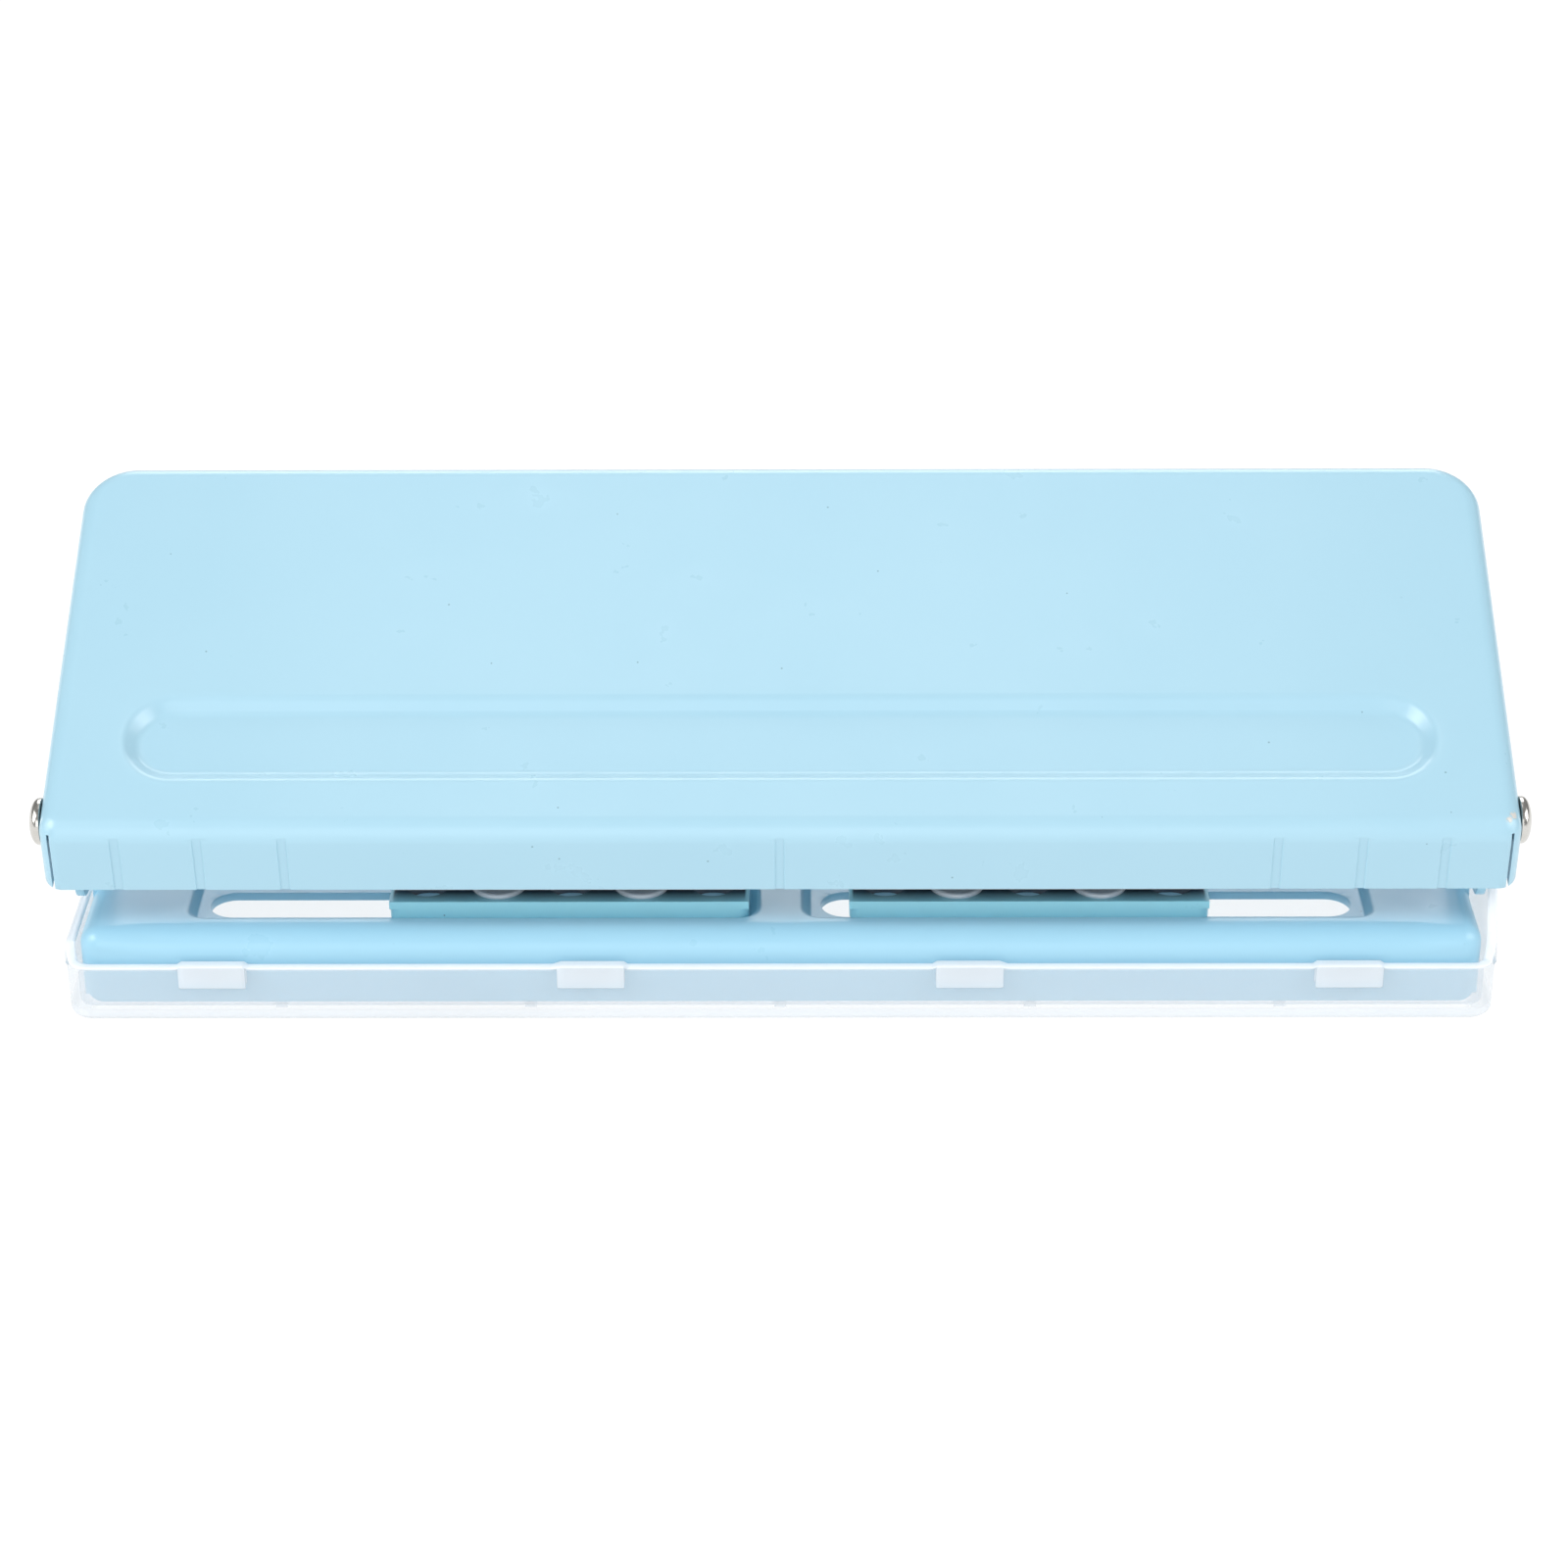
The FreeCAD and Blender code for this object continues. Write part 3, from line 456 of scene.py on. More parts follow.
class Graph:
    """A small builder for the node tree of one material."""

    def __init__(self, name: str) -> None:
        """Start a material with a principled shader and object coordinates in millimetres.

        Args:
            name: name of the material.
        """
        self.material = bpy.data.materials.new(name)
        self.material.use_nodes = True
        self.tree = self.material.node_tree
        self.shader = self.tree.nodes["Principled BSDF"]
        place = self.tree.nodes.new("ShaderNodeTexCoord")
        scale = self.tree.nodes.new("ShaderNodeVectorMath")
        scale.operation = "SCALE"
        scale.inputs["Scale"].default_value = 1 / MM
        self.link(place.outputs["Object"], scale.inputs[0])
        self.coordinates = scale.outputs[0]

    def link(self, source: Socket, target: Socket) -> None:
        """Join two sockets."""
        self.tree.links.new(source, target)

    def constants(self, **values: object) -> None:
        """Set constant values on the shader's own sockets, named with underscores for spaces."""
        for name, value in values.items():
            self.shader.inputs[name.replace("_", " ")].default_value = value

    def stretch(self, x: float, y: float, z: float) -> Socket:
        """Return the coordinates scaled along each axis.

        Args:
            x: factor along X.
            y: factor along Y.
            z: factor along Z.

        Returns:
            The scaled coordinates.
        """
        node = self.tree.nodes.new("ShaderNodeVectorMath")
        node.operation = "MULTIPLY"
        node.inputs[1].default_value = (x, y, z)
        self.link(self.coordinates, node.inputs[0])
        return node.outputs[0]

    def split(self, vector: Socket) -> Sequence[Socket]:
        """Return the three parts of a vector."""
        node = self.tree.nodes.new("ShaderNodeSeparateXYZ")
        self.link(vector, node.inputs[0])
        return node.outputs

    def surface_normal(self) -> Socket:
        """Return the normal of the surface itself."""
        return self.tree.nodes.new("ShaderNodeNewGeometry").outputs["Normal"]

    def noise(self, size: float, detail: float = 3.0, roughness: float = 0.55,
              vector: Optional[Socket] = None) -> Socket:
        """Return a noise value.

        Args:
            size: size of its grain, in millimetres.
            detail: how many finer layers it has.
            roughness: how strong the finer layers are.
            vector: coordinates to use instead of the object's own.

        Returns:
            The value.
        """
        node = self.tree.nodes.new("ShaderNodeTexNoise")
        node.inputs["Scale"].default_value = 1 / size
        node.inputs["Detail"].default_value = detail
        node.inputs["Roughness"].default_value = roughness
        self.link(vector or self.coordinates, node.inputs["Vector"])
        return node.outputs["Fac"]

    def dots(self, spacing: float, radius: float, share: float) -> Socket:
        """Return 1 in small scattered dots and 0 between them.

        Args:
            spacing: size of the cells that may hold a dot, in millimetres.
            radius: radius of a dot.
            share: share of the cells that hold one.

        Returns:
            The mask.
        """
        cells = self.tree.nodes.new("ShaderNodeTexVoronoi")
        cells.inputs["Scale"].default_value = 1 / spacing
        self.link(self.coordinates, cells.inputs["Vector"])
        near = self.falling(cells.outputs["Distance"], radius / spacing * 0.6, radius / spacing)
        chosen = self.falling(self.split(cells.outputs["Color"])[0], share, share + 0.01)
        return self.combine("MULTIPLY", near, chosen)

    def remap(self, value: Socket, low: float, high: float,
              to_low: float, to_high: float) -> Socket:
        """Return a value mapped from one range to another and clamped.

        Args:
            value: the value.
            low: start of its range.
            high: end of its range.
            to_low: what the start becomes.
            to_high: what the end becomes.

        Returns:
            The mapped value.
        """
        node = self.tree.nodes.new("ShaderNodeMapRange")
        for name, number in (("From Min", low), ("From Max", high), ("To Min", to_low), ("To Max", to_high)):
            node.inputs[name].default_value = number
        self.link(value, node.inputs["Value"])
        return node.outputs["Result"]

    def rising(self, value: Socket, start: float, end: float) -> Socket:
        """Return 0 up to the start, 1 past the end and a ramp between them."""
        return self.remap(value, start, end, 0.0, 1.0)

    def falling(self, value: Socket, start: float, end: float) -> Socket:
        """Return 1 up to the start, 0 past the end and a ramp between them."""
        return self.remap(value, start, end, 1.0, 0.0)

    def spread(self, noise: Socket, low: float, high: float) -> Socket:
        """Return a noise value spread over a range."""
        return self.remap(noise, NOISE_LOW, NOISE_HIGH, low, high)

    def magnitude(self, value: Socket) -> Socket:
        """Return a value without its sign."""
        return self.combine("ABSOLUTE", value, 0.0)

    def combine(self, operation: str, first: Socket,
                second: Union[Socket, float]) -> Socket:
        """Return the result of a math operation on two values.

        Args:
            operation: the operation, by its name in the node.
            first: the first value.
            second: the second value, which may be a number.

        Returns:
            The result.
        """
        node = self.tree.nodes.new("ShaderNodeMath")
        node.operation = operation
        self.link(first, node.inputs[0])
        if isinstance(second, (int, float)):
            node.inputs[1].default_value = second
        else:
            self.link(second, node.inputs[1])
        return node.outputs[0]

    def mix(self, factor: Socket, low: Union[Sequence[float], Socket],
            high: Sequence[float]) -> Socket:
        """Return a colour between two colours.

        Args:
            factor: 0 for the first colour, 1 for the second.
            low: the first colour.
            high: the second colour.

        Returns:
            The mixed colour.
        """
        node = self.tree.nodes.new("ShaderNodeMix")
        node.data_type = "RGBA"
        self.link(factor, node.inputs[0])
        if isinstance(low, Socket):
            self.link(low, node.inputs[6])
        else:
            node.inputs[6].default_value = (*low, 1)
        node.inputs[7].default_value = (*high, 1)
        return node.outputs[2]

    def bump(self, height: Socket, depth: float, strength: float,
             base: Optional[Socket] = None) -> Socket:
        """Return a normal disturbed by a height.

        Args:
            height: the height, from 0 to 1.
            depth: how deep a height of 1 is, in millimetres.
            strength: how strongly it shows.
            base: the normal that it disturbs, if not the surface's own.

        Returns:
            The normal.
        """
        node = self.tree.nodes.new("ShaderNodeBump")
        node.inputs["Distance"].default_value = depth * MM
        node.inputs["Strength"].default_value = strength
        self.link(height, node.inputs["Height"])
        if base is not None:
            self.link(base, node.inputs["Normal"])
        return node.outputs["Normal"]

    def spot(self, centre: Sequence[float], radius: float, ragged: float,
             grain: float) -> Socket:
        """Return 1 inside a ragged spot and 0 outside it.

        Args:
            centre: the middle of the spot, in millimetres.
            radius: its radius.
            ragged: how far its edge wanders.
            grain: size of the wander.

        Returns:
            The mask.
        """
        node = self.tree.nodes.new("ShaderNodeVectorMath")
        node.operation = "DISTANCE"
        node.inputs[1].default_value = centre
        self.link(self.coordinates, node.inputs[0])
        wander = self.spread(self.noise(grain, 2.0), -ragged, ragged)
        reach = self.combine("ADD", node.outputs["Value"], wander)
        return self.falling(reach, radius - 0.12, radius + 0.12)

    def paint(self, colour: Socket, rough: Socket,
              normal: Optional[Socket] = None) -> bpy.types.Material:
        """Link the finish to the shader.

        Args:
            colour: its colour.
            rough: its roughness.
            normal: its disturbed normal, if it has one.

        Returns:
            The material.
        """
        self.link(colour, self.shader.inputs["Base Color"])
        self.link(rough, self.shader.inputs["Roughness"])
        if normal is not None:
            self.link(normal, self.shader.inputs["Normal"])
        return self.material


@dataclass(frozen=True)
class Chip:
    """A place where the enamel has come off."""

    centre: Place
    radius: float


@dataclass(frozen=True)
class PaintedDieShade:
    """Painted shade on the stretch of a unit's die leg round its punch holes, where the lever's shadow falls.
    """

    centre: float
    front: float
    top: float
    half_length: float = 23.2
    reach: float = 7.4
    fade: float = 2.4
    edge: float = 0.3
    clear: float = 0.1
    strength: float = 0.97

    def mask(self, graph: Graph) -> Socket:
        """Return 1 where the shade is painted, fading out towards the enamelled front lip.

        Args:
            graph: the material that the mask is for.

        Returns:
            The mask.
        """
        place = graph.split(graph.coordinates)
        rear = self.front + self.reach
        inwards = graph.remap(place[1], self.front, self.front + self.fade, 0.0, self.strength)
        depth = graph.combine("MULTIPLY", inwards, graph.falling(place[1], rear, rear + self.edge))
        off = graph.magnitude(graph.combine("SUBTRACT", place[0], self.centre))
        along = graph.falling(off, self.half_length, self.half_length + self.edge)
        ceiling = self.top + self.clear
        below = graph.falling(place[2], ceiling, ceiling + self.edge)
        return graph.combine("MULTIPLY", graph.combine("MULTIPLY", depth, along), below)


@dataclass(frozen=True)
class EnamelFinish:
    """Light-blue gloss stove enamel on pressed steel."""

    name: str = "light_blue_enamel"
    colour: Colour = (0.355, 0.581, 0.700)
    pale: Colour = (0.368, 0.592, 0.708)
    bare: Colour = (0.62, 0.60, 0.56)
    speck: Colour = (0.13, 0.24, 0.31)
    # painted shade: the near-black colour laid on a unit's die leg where the lever's shadow falls
    oiled: Colour = (0.030, 0.050, 0.085)
    drift_size: float = 38.0
    peel_size: float = 1.3
    peel_depth: float = 0.005
    peel_strength: float = 0.35
    dust_spacing: float = 3.2
    dust_radius: float = 0.17
    dust_share: float = 0.14
    dust_strength: float = 0.7
    polish_size: float = 6.0
    rough_low: float = 0.27
    rough_high: float = 0.36
    gloss: float = 0.5
    coat: float = 0.25
    coat_rough: float = 0.12
    chip_ragged: float = 0.45
    chip_grain: float = 0.7
    chip_depth: float = 0.06
    chip_strength: float = 0.8
    chips: tuple[Chip, ...] = ()
    die: Optional[PaintedDieShade] = None

    def material(self) -> bpy.types.Material:
        """Return the enamel: faint drift of tone, orange peel, dust specks, bare chips and painted shade on a
        unit's die leg.
        """
        graph = Graph(self.name)
        graph.constants(Metallic=0.0, IOR=1.5, Specular_IOR_Level=self.gloss, Coat_Weight=self.coat,
                        Coat_Roughness=self.coat_rough)
        drift = graph.spread(graph.noise(self.drift_size, 2.0), 0.0, 1.0)
        colour = graph.mix(drift, self.colour, self.pale)
        dots = graph.dots(self.dust_spacing, self.dust_radius, self.dust_share)
        colour = graph.mix(graph.combine("MULTIPLY", dots, self.dust_strength), colour, self.speck)
        rough = graph.spread(graph.noise(self.polish_size, 4.0), self.rough_low, self.rough_high)
        peel = graph.noise(self.peel_size, 2.0, 0.4)
        normal = graph.bump(peel, self.peel_depth, self.peel_strength)
        for chip in self.chips:
            mask = graph.spot(chip.centre, chip.radius, chip.radius * self.chip_ragged,
                              chip.radius * self.chip_grain)
            colour = graph.mix(mask, colour, self.bare)
            sunk = graph.combine("MULTIPLY", mask, -1.0)
            normal = graph.bump(sunk, self.chip_depth, self.chip_strength, normal)
        # painted shade: the die leg under the lever is darkened in the colour itself
        if self.die is not None:
            colour = graph.mix(self.die.mask(graph), colour, self.oiled)
        return graph.paint(colour, rough, normal)


@dataclass(frozen=True)
class FrostedFinish:
    """Translucent frosted polypropylene, thicker to look through at its rim and its tabs."""

    name: str = "frosted_tray"
    colour: Colour = (0.80, 0.84, 0.88)
    hazy: Colour = (0.77, 0.82, 0.865)
    opacity: float = 0.27
    floor_opacity: float = 0.08
    floor_half_length: float = 91.5
    floor_half_width: float = 31.8
    floor_edge: float = 0.8
    foot_opacity: float = 0.42
    foot_top: float = 1.9
    foot_fade: float = 0.4
    rim_opacity: float = 0.92
    rim_from: float = 5.0
    rim_edge: float = 0.1
    rim_facing: float = 0.4
    tab_opacity: float = 0.62
    tab_edge: float = 0.002
    tab_fade_below: float = 0.2
    tab_fade_above: float = 0.4

    def opacity_map(self, graph: Graph) -> Socket:
        """Return the opacity: a clear floor, hazy walls, milky tabs and a nearly solid rim.

        Args:
            graph: the material that the opacity is for.

        Returns:
            The opacity.
        """
        place = graph.split(graph.coordinates)
        inside = [graph.falling(graph.magnitude(place[axis]), half - self.floor_edge, half + self.floor_edge)
                  for axis, half in enumerate((self.floor_half_length, self.floor_half_width))]
        foot = graph.remap(place[2], self.foot_top - self.foot_fade, self.foot_top,
                           self.foot_opacity, self.opacity)
        under = graph.combine("MULTIPLY", *inside)
        clear = graph.combine("MULTIPLY", graph.combine("SUBTRACT", foot, self.floor_opacity), under)
        walls = graph.combine("SUBTRACT", foot, clear)
        up = graph.split(graph.surface_normal())[2]
        above = graph.rising(place[2], self.rim_from, self.rim_from + self.rim_edge)
        rim = graph.combine("MULTIPLY", above, graph.rising(up, 0.0, self.rim_facing))
        cell = graph.combine("FRACT", graph.combine("DIVIDE", place[0], TAB_PITCH), 0.0)
        off = graph.magnitude(graph.combine("SUBTRACT", cell, 0.5))
        half = TAB_WIDTH / 2 / TAB_PITCH
        tab = graph.combine("MULTIPLY", graph.falling(off, half - self.tab_edge, half + self.tab_edge),
                            graph.rising(place[2], TAB_BOTTOM - self.tab_fade_below,
                                         TAB_BOTTOM + self.tab_fade_above))
        milky = graph.combine("MAXIMUM", walls, graph.combine("MULTIPLY", tab, self.tab_opacity))
        return graph.combine("MAXIMUM", milky, graph.combine("MULTIPLY", rim, self.rim_opacity))

    def material(self) -> bpy.types.Material:
        """Return the plastic: hazy, with flow marks and a fine satin grain."""
        graph = Graph(self.name)
        graph.constants(Metallic=0.0, IOR=1.49)
        flow = graph.noise(9.0, 3.0, 0.6, graph.stretch(0.25, 1.0, 1.0))
        colour = graph.mix(graph.spread(flow, 0.0, 1.0), self.colour, self.hazy)
        rough = graph.spread(graph.noise(2.2, 3.0), 0.30, 0.44)
        graph.link(self.opacity_map(graph), graph.shader.inputs["Alpha"])
        return graph.paint(colour, rough, graph.bump(graph.noise(0.35, 2.0), 0.01, 0.4))


@dataclass(frozen=True)
class MetalFinish:
    """A bare or plated metal with fine machining marks."""

    name: str
    colour: Colour
    dark: Colour
    rough_low: float = 0.22
    rough_high: float = 0.34
    grain: tuple[float, float, float] = (1.0, 1.0, 1.0)
    grain_size: float = 0.5
    mark_depth: float = 0.006
    stain_size: float = 2.4
    stain_low: float = 0.35
    stain_high: float = 0.75
    metallic: float = 1.0

    def material(self) -> bpy.types.Material:
        """Return the metal: stained tone, uneven polish and directional marks."""
        graph = Graph(self.name)
        graph.constants(Metallic=self.metallic)
        stain = graph.rising(graph.noise(self.stain_size, 4.0), self.stain_low, self.stain_high)
        colour = graph.mix(stain, self.colour, self.dark)
        marks = graph.noise(self.grain_size, 4.0, 0.6, graph.stretch(*self.grain))
        rough = graph.spread(marks, self.rough_low, self.rough_high)
        return graph.paint(colour, rough, graph.bump(marks, self.mark_depth, 0.5))


@dataclass(frozen=True)
class AcetalFinish:
    """Natural acetal of the pivot bushes."""

    name: str = "natural_acetal"
    colour: Colour = (0.78, 0.80, 0.80)
    shade: Colour = (0.70, 0.72, 0.72)
    rough_low: float = 0.38
    rough_high: float = 0.5
    ring_depth: float = 0.008

    def material(self) -> bpy.types.Material:
        """Return the plastic: milky, with turning rings."""
        graph = Graph(self.name)
        graph.constants(Metallic=0.0, IOR=1.48)
        colour = graph.mix(graph.spread(graph.noise(3.0), 0.0, 1.0), self.colour, self.shade)
        rings = graph.noise(0.3, 2.0, 0.5, graph.stretch(2.0, 0.4, 0.4))
        rough = graph.spread(rings, self.rough_low, self.rough_high)
        return graph.paint(colour, rough, graph.bump(rings, self.ring_depth, 0.4))


@dataclass
class Finishes:
    """Every finish of the punch, made once."""

    enamel: bpy.types.Material
    lever_enamel: bpy.types.Material
    tray: bpy.types.Material
    nickel: bpy.types.Material
    satin: bpy.types.Material
    zinc: bpy.types.Material
    tool: bpy.types.Material
    spring: bpy.types.Material
    bush: bpy.types.Material

    @classmethod
    def make(cls, lever_chips: tuple[Chip, ...]) -> "Finishes":
        """Make the materials.

        Args:
            lever_chips: where the lever plate's enamel has come off.

        Returns:
            The set of materials.
        """
        base = EnamelFinish(colour=(0.315, 0.575, 0.725), pale=(0.325, 0.585, 0.735), gloss=0.4, coat=0.15)
        lever = EnamelFinish(name="lever_enamel", chips=lever_chips)
        nickel = MetalFinish("nickel_plate", (0.70, 0.69, 0.66), (0.60, 0.58, 0.54), 0.16, 0.26)
        satin = MetalFinish("satin_nickel", (0.74, 0.80, 0.86), (0.64, 0.71, 0.78), 0.5, 0.62, metallic=0.35)
        zinc = MetalFinish("zinc_plate", (0.66, 0.68, 0.71), (0.52, 0.54, 0.58), 0.3, 0.45, (0.3, 3.0, 3.0))
        tool = MetalFinish("ground_steel", (0.60, 0.60, 0.61), (0.48, 0.47, 0.46), 0.18, 0.3, (1.0, 1.0, 6.0))
        spring = MetalFinish("oiled_spring_steel", (0.42, 0.43, 0.46), (0.28, 0.28, 0.30), 0.25, 0.4)
        return cls(
            enamel=base.material(),
            lever_enamel=lever.material(),
            tray=FrostedFinish().material(),
            nickel=nickel.material(),
            satin=satin.material(),
            zinc=zinc.material(),
            tool=tool.material(),
            spring=spring.material(),
            bush=AcetalFinish().material(),
        )


# ---------------------------------------------------------------------------------------------
# Sub-assemblies
# ---------------------------------------------------------------------------------------------


def box_mm(node: str) -> tuple[Vector, Vector]:
    """Return a node's lowest and highest corners in millimetres."""
    low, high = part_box(node)
    return low / MM, high / MM


@dataclass
class BasePlate:
    """The pressed base: a shallow pan with two slotted pockets and a hinge ear at each end."""

    sheet: float = 1.2
    bend: float = 2.4
    front_bend: float = 3.3
    bend_taper: float = 7.0
    bend_steps: int = 10
    corner: float = 2.6
    skirt_corner: float = 2.8
    top: float = 12.3
    pocket_sink: float = 1.45
    pocket_run: float = 1.1
    pocket_inner: float = 4.0
    pocket_outer: float = 77.5
    pocket_front: float = 5.7
    pocket_rear: float = 17.65
    pocket_corner: float = 1.6
    pocket_roll: float = 1.25
    pocket_fillet: float = 0.6
    pin_line: float = 10.4
    slot_half: float = 3.25
    slot_inner: float = 5.45
    slot_outer: float = 76.05
    edge_round: float = 0.16
    ear_radius: float = 2.7
    ear_nose: float = 2.4
    ear_nose_rise: float = 4.0
    ear_root_front: float = 13.0
    ear_root_rear: float = 34.0
    ear_steps: int = 12
    ear_top_ease: float = 0.08
    paper_facing: float = 0.999
    rim_run: float = 1.2
    floor_run: float = 0.8

    def skirt_bottom(self, low: Vector, high: Vector) -> Callable[[Sample], float]:
        """Return how high the skirt's lower edge is, which lifts round its corners.

        Args:
            low: lowest corner of the base.
            high: highest corner of the base.

        Returns:
            The function that gives the height at one sample.
        """
        radius = self.skirt_corner

        def height(sample: Sample) -> float:
            """Return the lower edge's height at one sample."""
            over_x = max(0.0, abs(sample.x) - (high.x - radius))
            over_y = max(0.0, abs(sample.y) - (high.y - radius))
            over = over_x if abs(sample.ny) > abs(sample.nx) else over_y
            return low.z + radius - math.sqrt(max(0.0, radius * radius - min(over, radius) ** 2))

        return height

    def bend_radius(self, sample: Sample, half_length: float) -> float:
        """Return the outer radius of the bend, which is larger along the paper edge.

        Args:
            sample: the place on the outline.
            half_length: half the length of the base.

        Returns:
            The radius.
        """
        if sample.ny > -self.paper_facing:
            return self.bend
        run = smooth((half_length - self.corner - abs(sample.x)) / self.bend_taper)
        return self.bend + (self.front_bend - self.bend) * run

    def pocket_profile(self) -> list[tuple[float, float]]:
        """Return (inset, height) steps from the base's top down to a pocket's floor."""
        floor = self.top - self.pocket_sink
        points = [(-self.pocket_run - self.rim_run, self.top, 0.0),
                  (-self.pocket_run, self.top, self.pocket_roll),
                  (0.0, floor, self.pocket_fillet),
                  (self.floor_run, floor, 0.0)]
        return filleted(points, 5)

    def build(self, material: bpy.types.Material) -> bpy.types.Object:
        """Build the whole pressing as one sheet, then add its ears.

        Args:
            material: the enamel.

        Returns:
            The finished piece.
        """
        low, high = box_mm("base_plate")
        mesh = RingMesh()
        corners = rectangle(low.x, high.x, low.y, high.y, self.corner, self.corner)
        outline = sample_outline(corners, STRAIGHT_STEP, 10)
        rings = []
        for step in range(self.bend_steps + 1):
            angle = math.pi / 2 * step / self.bend_steps
            inwards, drop = 1 - math.sin(angle), 1 - math.cos(angle)
            rings.append(mesh.ring(outline, lambda s, k=inwards: k * self.bend_radius(s, high.x),
                                   lambda s, k=drop: self.top - k * self.bend_radius(s, high.x)))
        rings.append(mesh.ring(outline, 0.0, self.skirt_bottom(low, high)))
        mesh.stack(rings)
        mesh.cap(rings[0], [self.add_pocket(mesh, end, low.y) for end in End])
        sheet = mesh.make("base_pressing", closed=False)
        solidify(sheet, self.sheet)
        soften(sheet, self.edge_round)
        freeze(sheet)
        ears = [self.build_ear(end, low, high) for end in End]
        joined = join([sheet, *ears], "base_pressing")
        return dress(joined, "base", material, ["base_plate"])

    def add_pocket(self, mesh: RingMesh, end: End, front: float) -> Ring:
        """Add one pocket with its slot.

        Args:
            mesh: the mesh of the pressing.
            end: which end of the base it is on.
            front: Y of the base's front.

        Returns:
            The ring of its rim.
        """
        x0, x1 = sorted((end.value * self.pocket_inner, end.value * self.pocket_outer))
        y0, y1 = front + self.pocket_front, front + self.pocket_rear
        corners = rectangle(x0, x1, y0, y1, self.pocket_corner, self.pocket_corner)
        foot = sample_outline(corners, STRAIGHT_STEP, 8)
        rings = [mesh.ring(foot, inset, height) for inset, height in self.pocket_profile()]
        mesh.stack(rings)
        sx0, sx1 = sorted((end.value * self.slot_inner, end.value * self.slot_outer))
        centre = front + self.pin_line
        radius = self.slot_half - HAIR
        corners = rectangle(sx0, sx1, centre - self.slot_half, centre + self.slot_half, radius, radius)
        slot = sample_outline(corners, STRAIGHT_STEP, 12)
        mesh.cap(rings[-1], [mesh.ring(slot, 0.0, self.top - self.pocket_sink)])
        return rings[0]

    def build_ear(self, end: End, low: Vector, high: Vector) -> bpy.types.Object:
        """Build one hinge ear, flush with the end wall. Its rivet fills the hole, so it has none.

        Args:
            end: which end of the base it is on.
            low: lowest corner of the base.
            high: highest corner of the base.

        Returns:
            The ear.
        """
        pivot = pivot_point()
        outer = end.value * high.x
        top = pivot.z + self.ear_radius
        nose = self.top + self.ear_nose_rise
        front = pivot.y - self.ear_radius
        root = self.top - self.bend
        root_front, root_rear = low.y + self.ear_root_front, low.y + self.ear_root_rear
        sharp = self.edge_round
        corners = [
            (front, nose, self.ear_nose),
            (root_front, nose - self.sheet, self.ear_nose / 2),
            (root_front, root, sharp),
            (root_rear, root, sharp),
            (root_rear, self.top, self.ear_radius),
            (pivot.y + self.ear_radius, top, self.ear_radius / 2),
            (front, top, self.ear_radius - self.ear_top_ease),
        ]
        outline = []
        for before, here, after in zip([corners[-1], *corners], corners, [*corners[1:], corners[0]]):
            outline.extend(fillet_arc(before, here, after, here[2], self.ear_steps))
        mesh = RingMesh()
        points = [Vector((outer, y, z)) for y, z in outline]
        mesh.add_plate(points, Vector((-end.value * self.sheet, 0, 0)))
        ear = mesh.make("ear_" + end.name.lower())
        soften(ear, self.edge_round)
        freeze(ear)
        return ear


def join(objects: Sequence[bpy.types.Object], name: str) -> bpy.types.Object:
    """Join several new objects into one, keeping the first one's shading settings.

    Args:
        objects: the objects, the first of which stays.
        name: the name of the result.

    Returns:
        The joined object.
    """
    with bpy.context.temp_override(active_object=objects[0], selected_editable_objects=list(objects)):
        bpy.ops.object.join()
    objects[0].name = name
    return objects[0]


def joint_named(name: str) -> dict:
    """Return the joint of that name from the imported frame."""
    return next(joint for joint in FRAME["joints"] if joint["name"] == name)


def pivot_point() -> Vector:
    """Return the lever's pivot point in millimetres."""
    return Vector(joint_named("handle_press")["pos_m"]) / MM


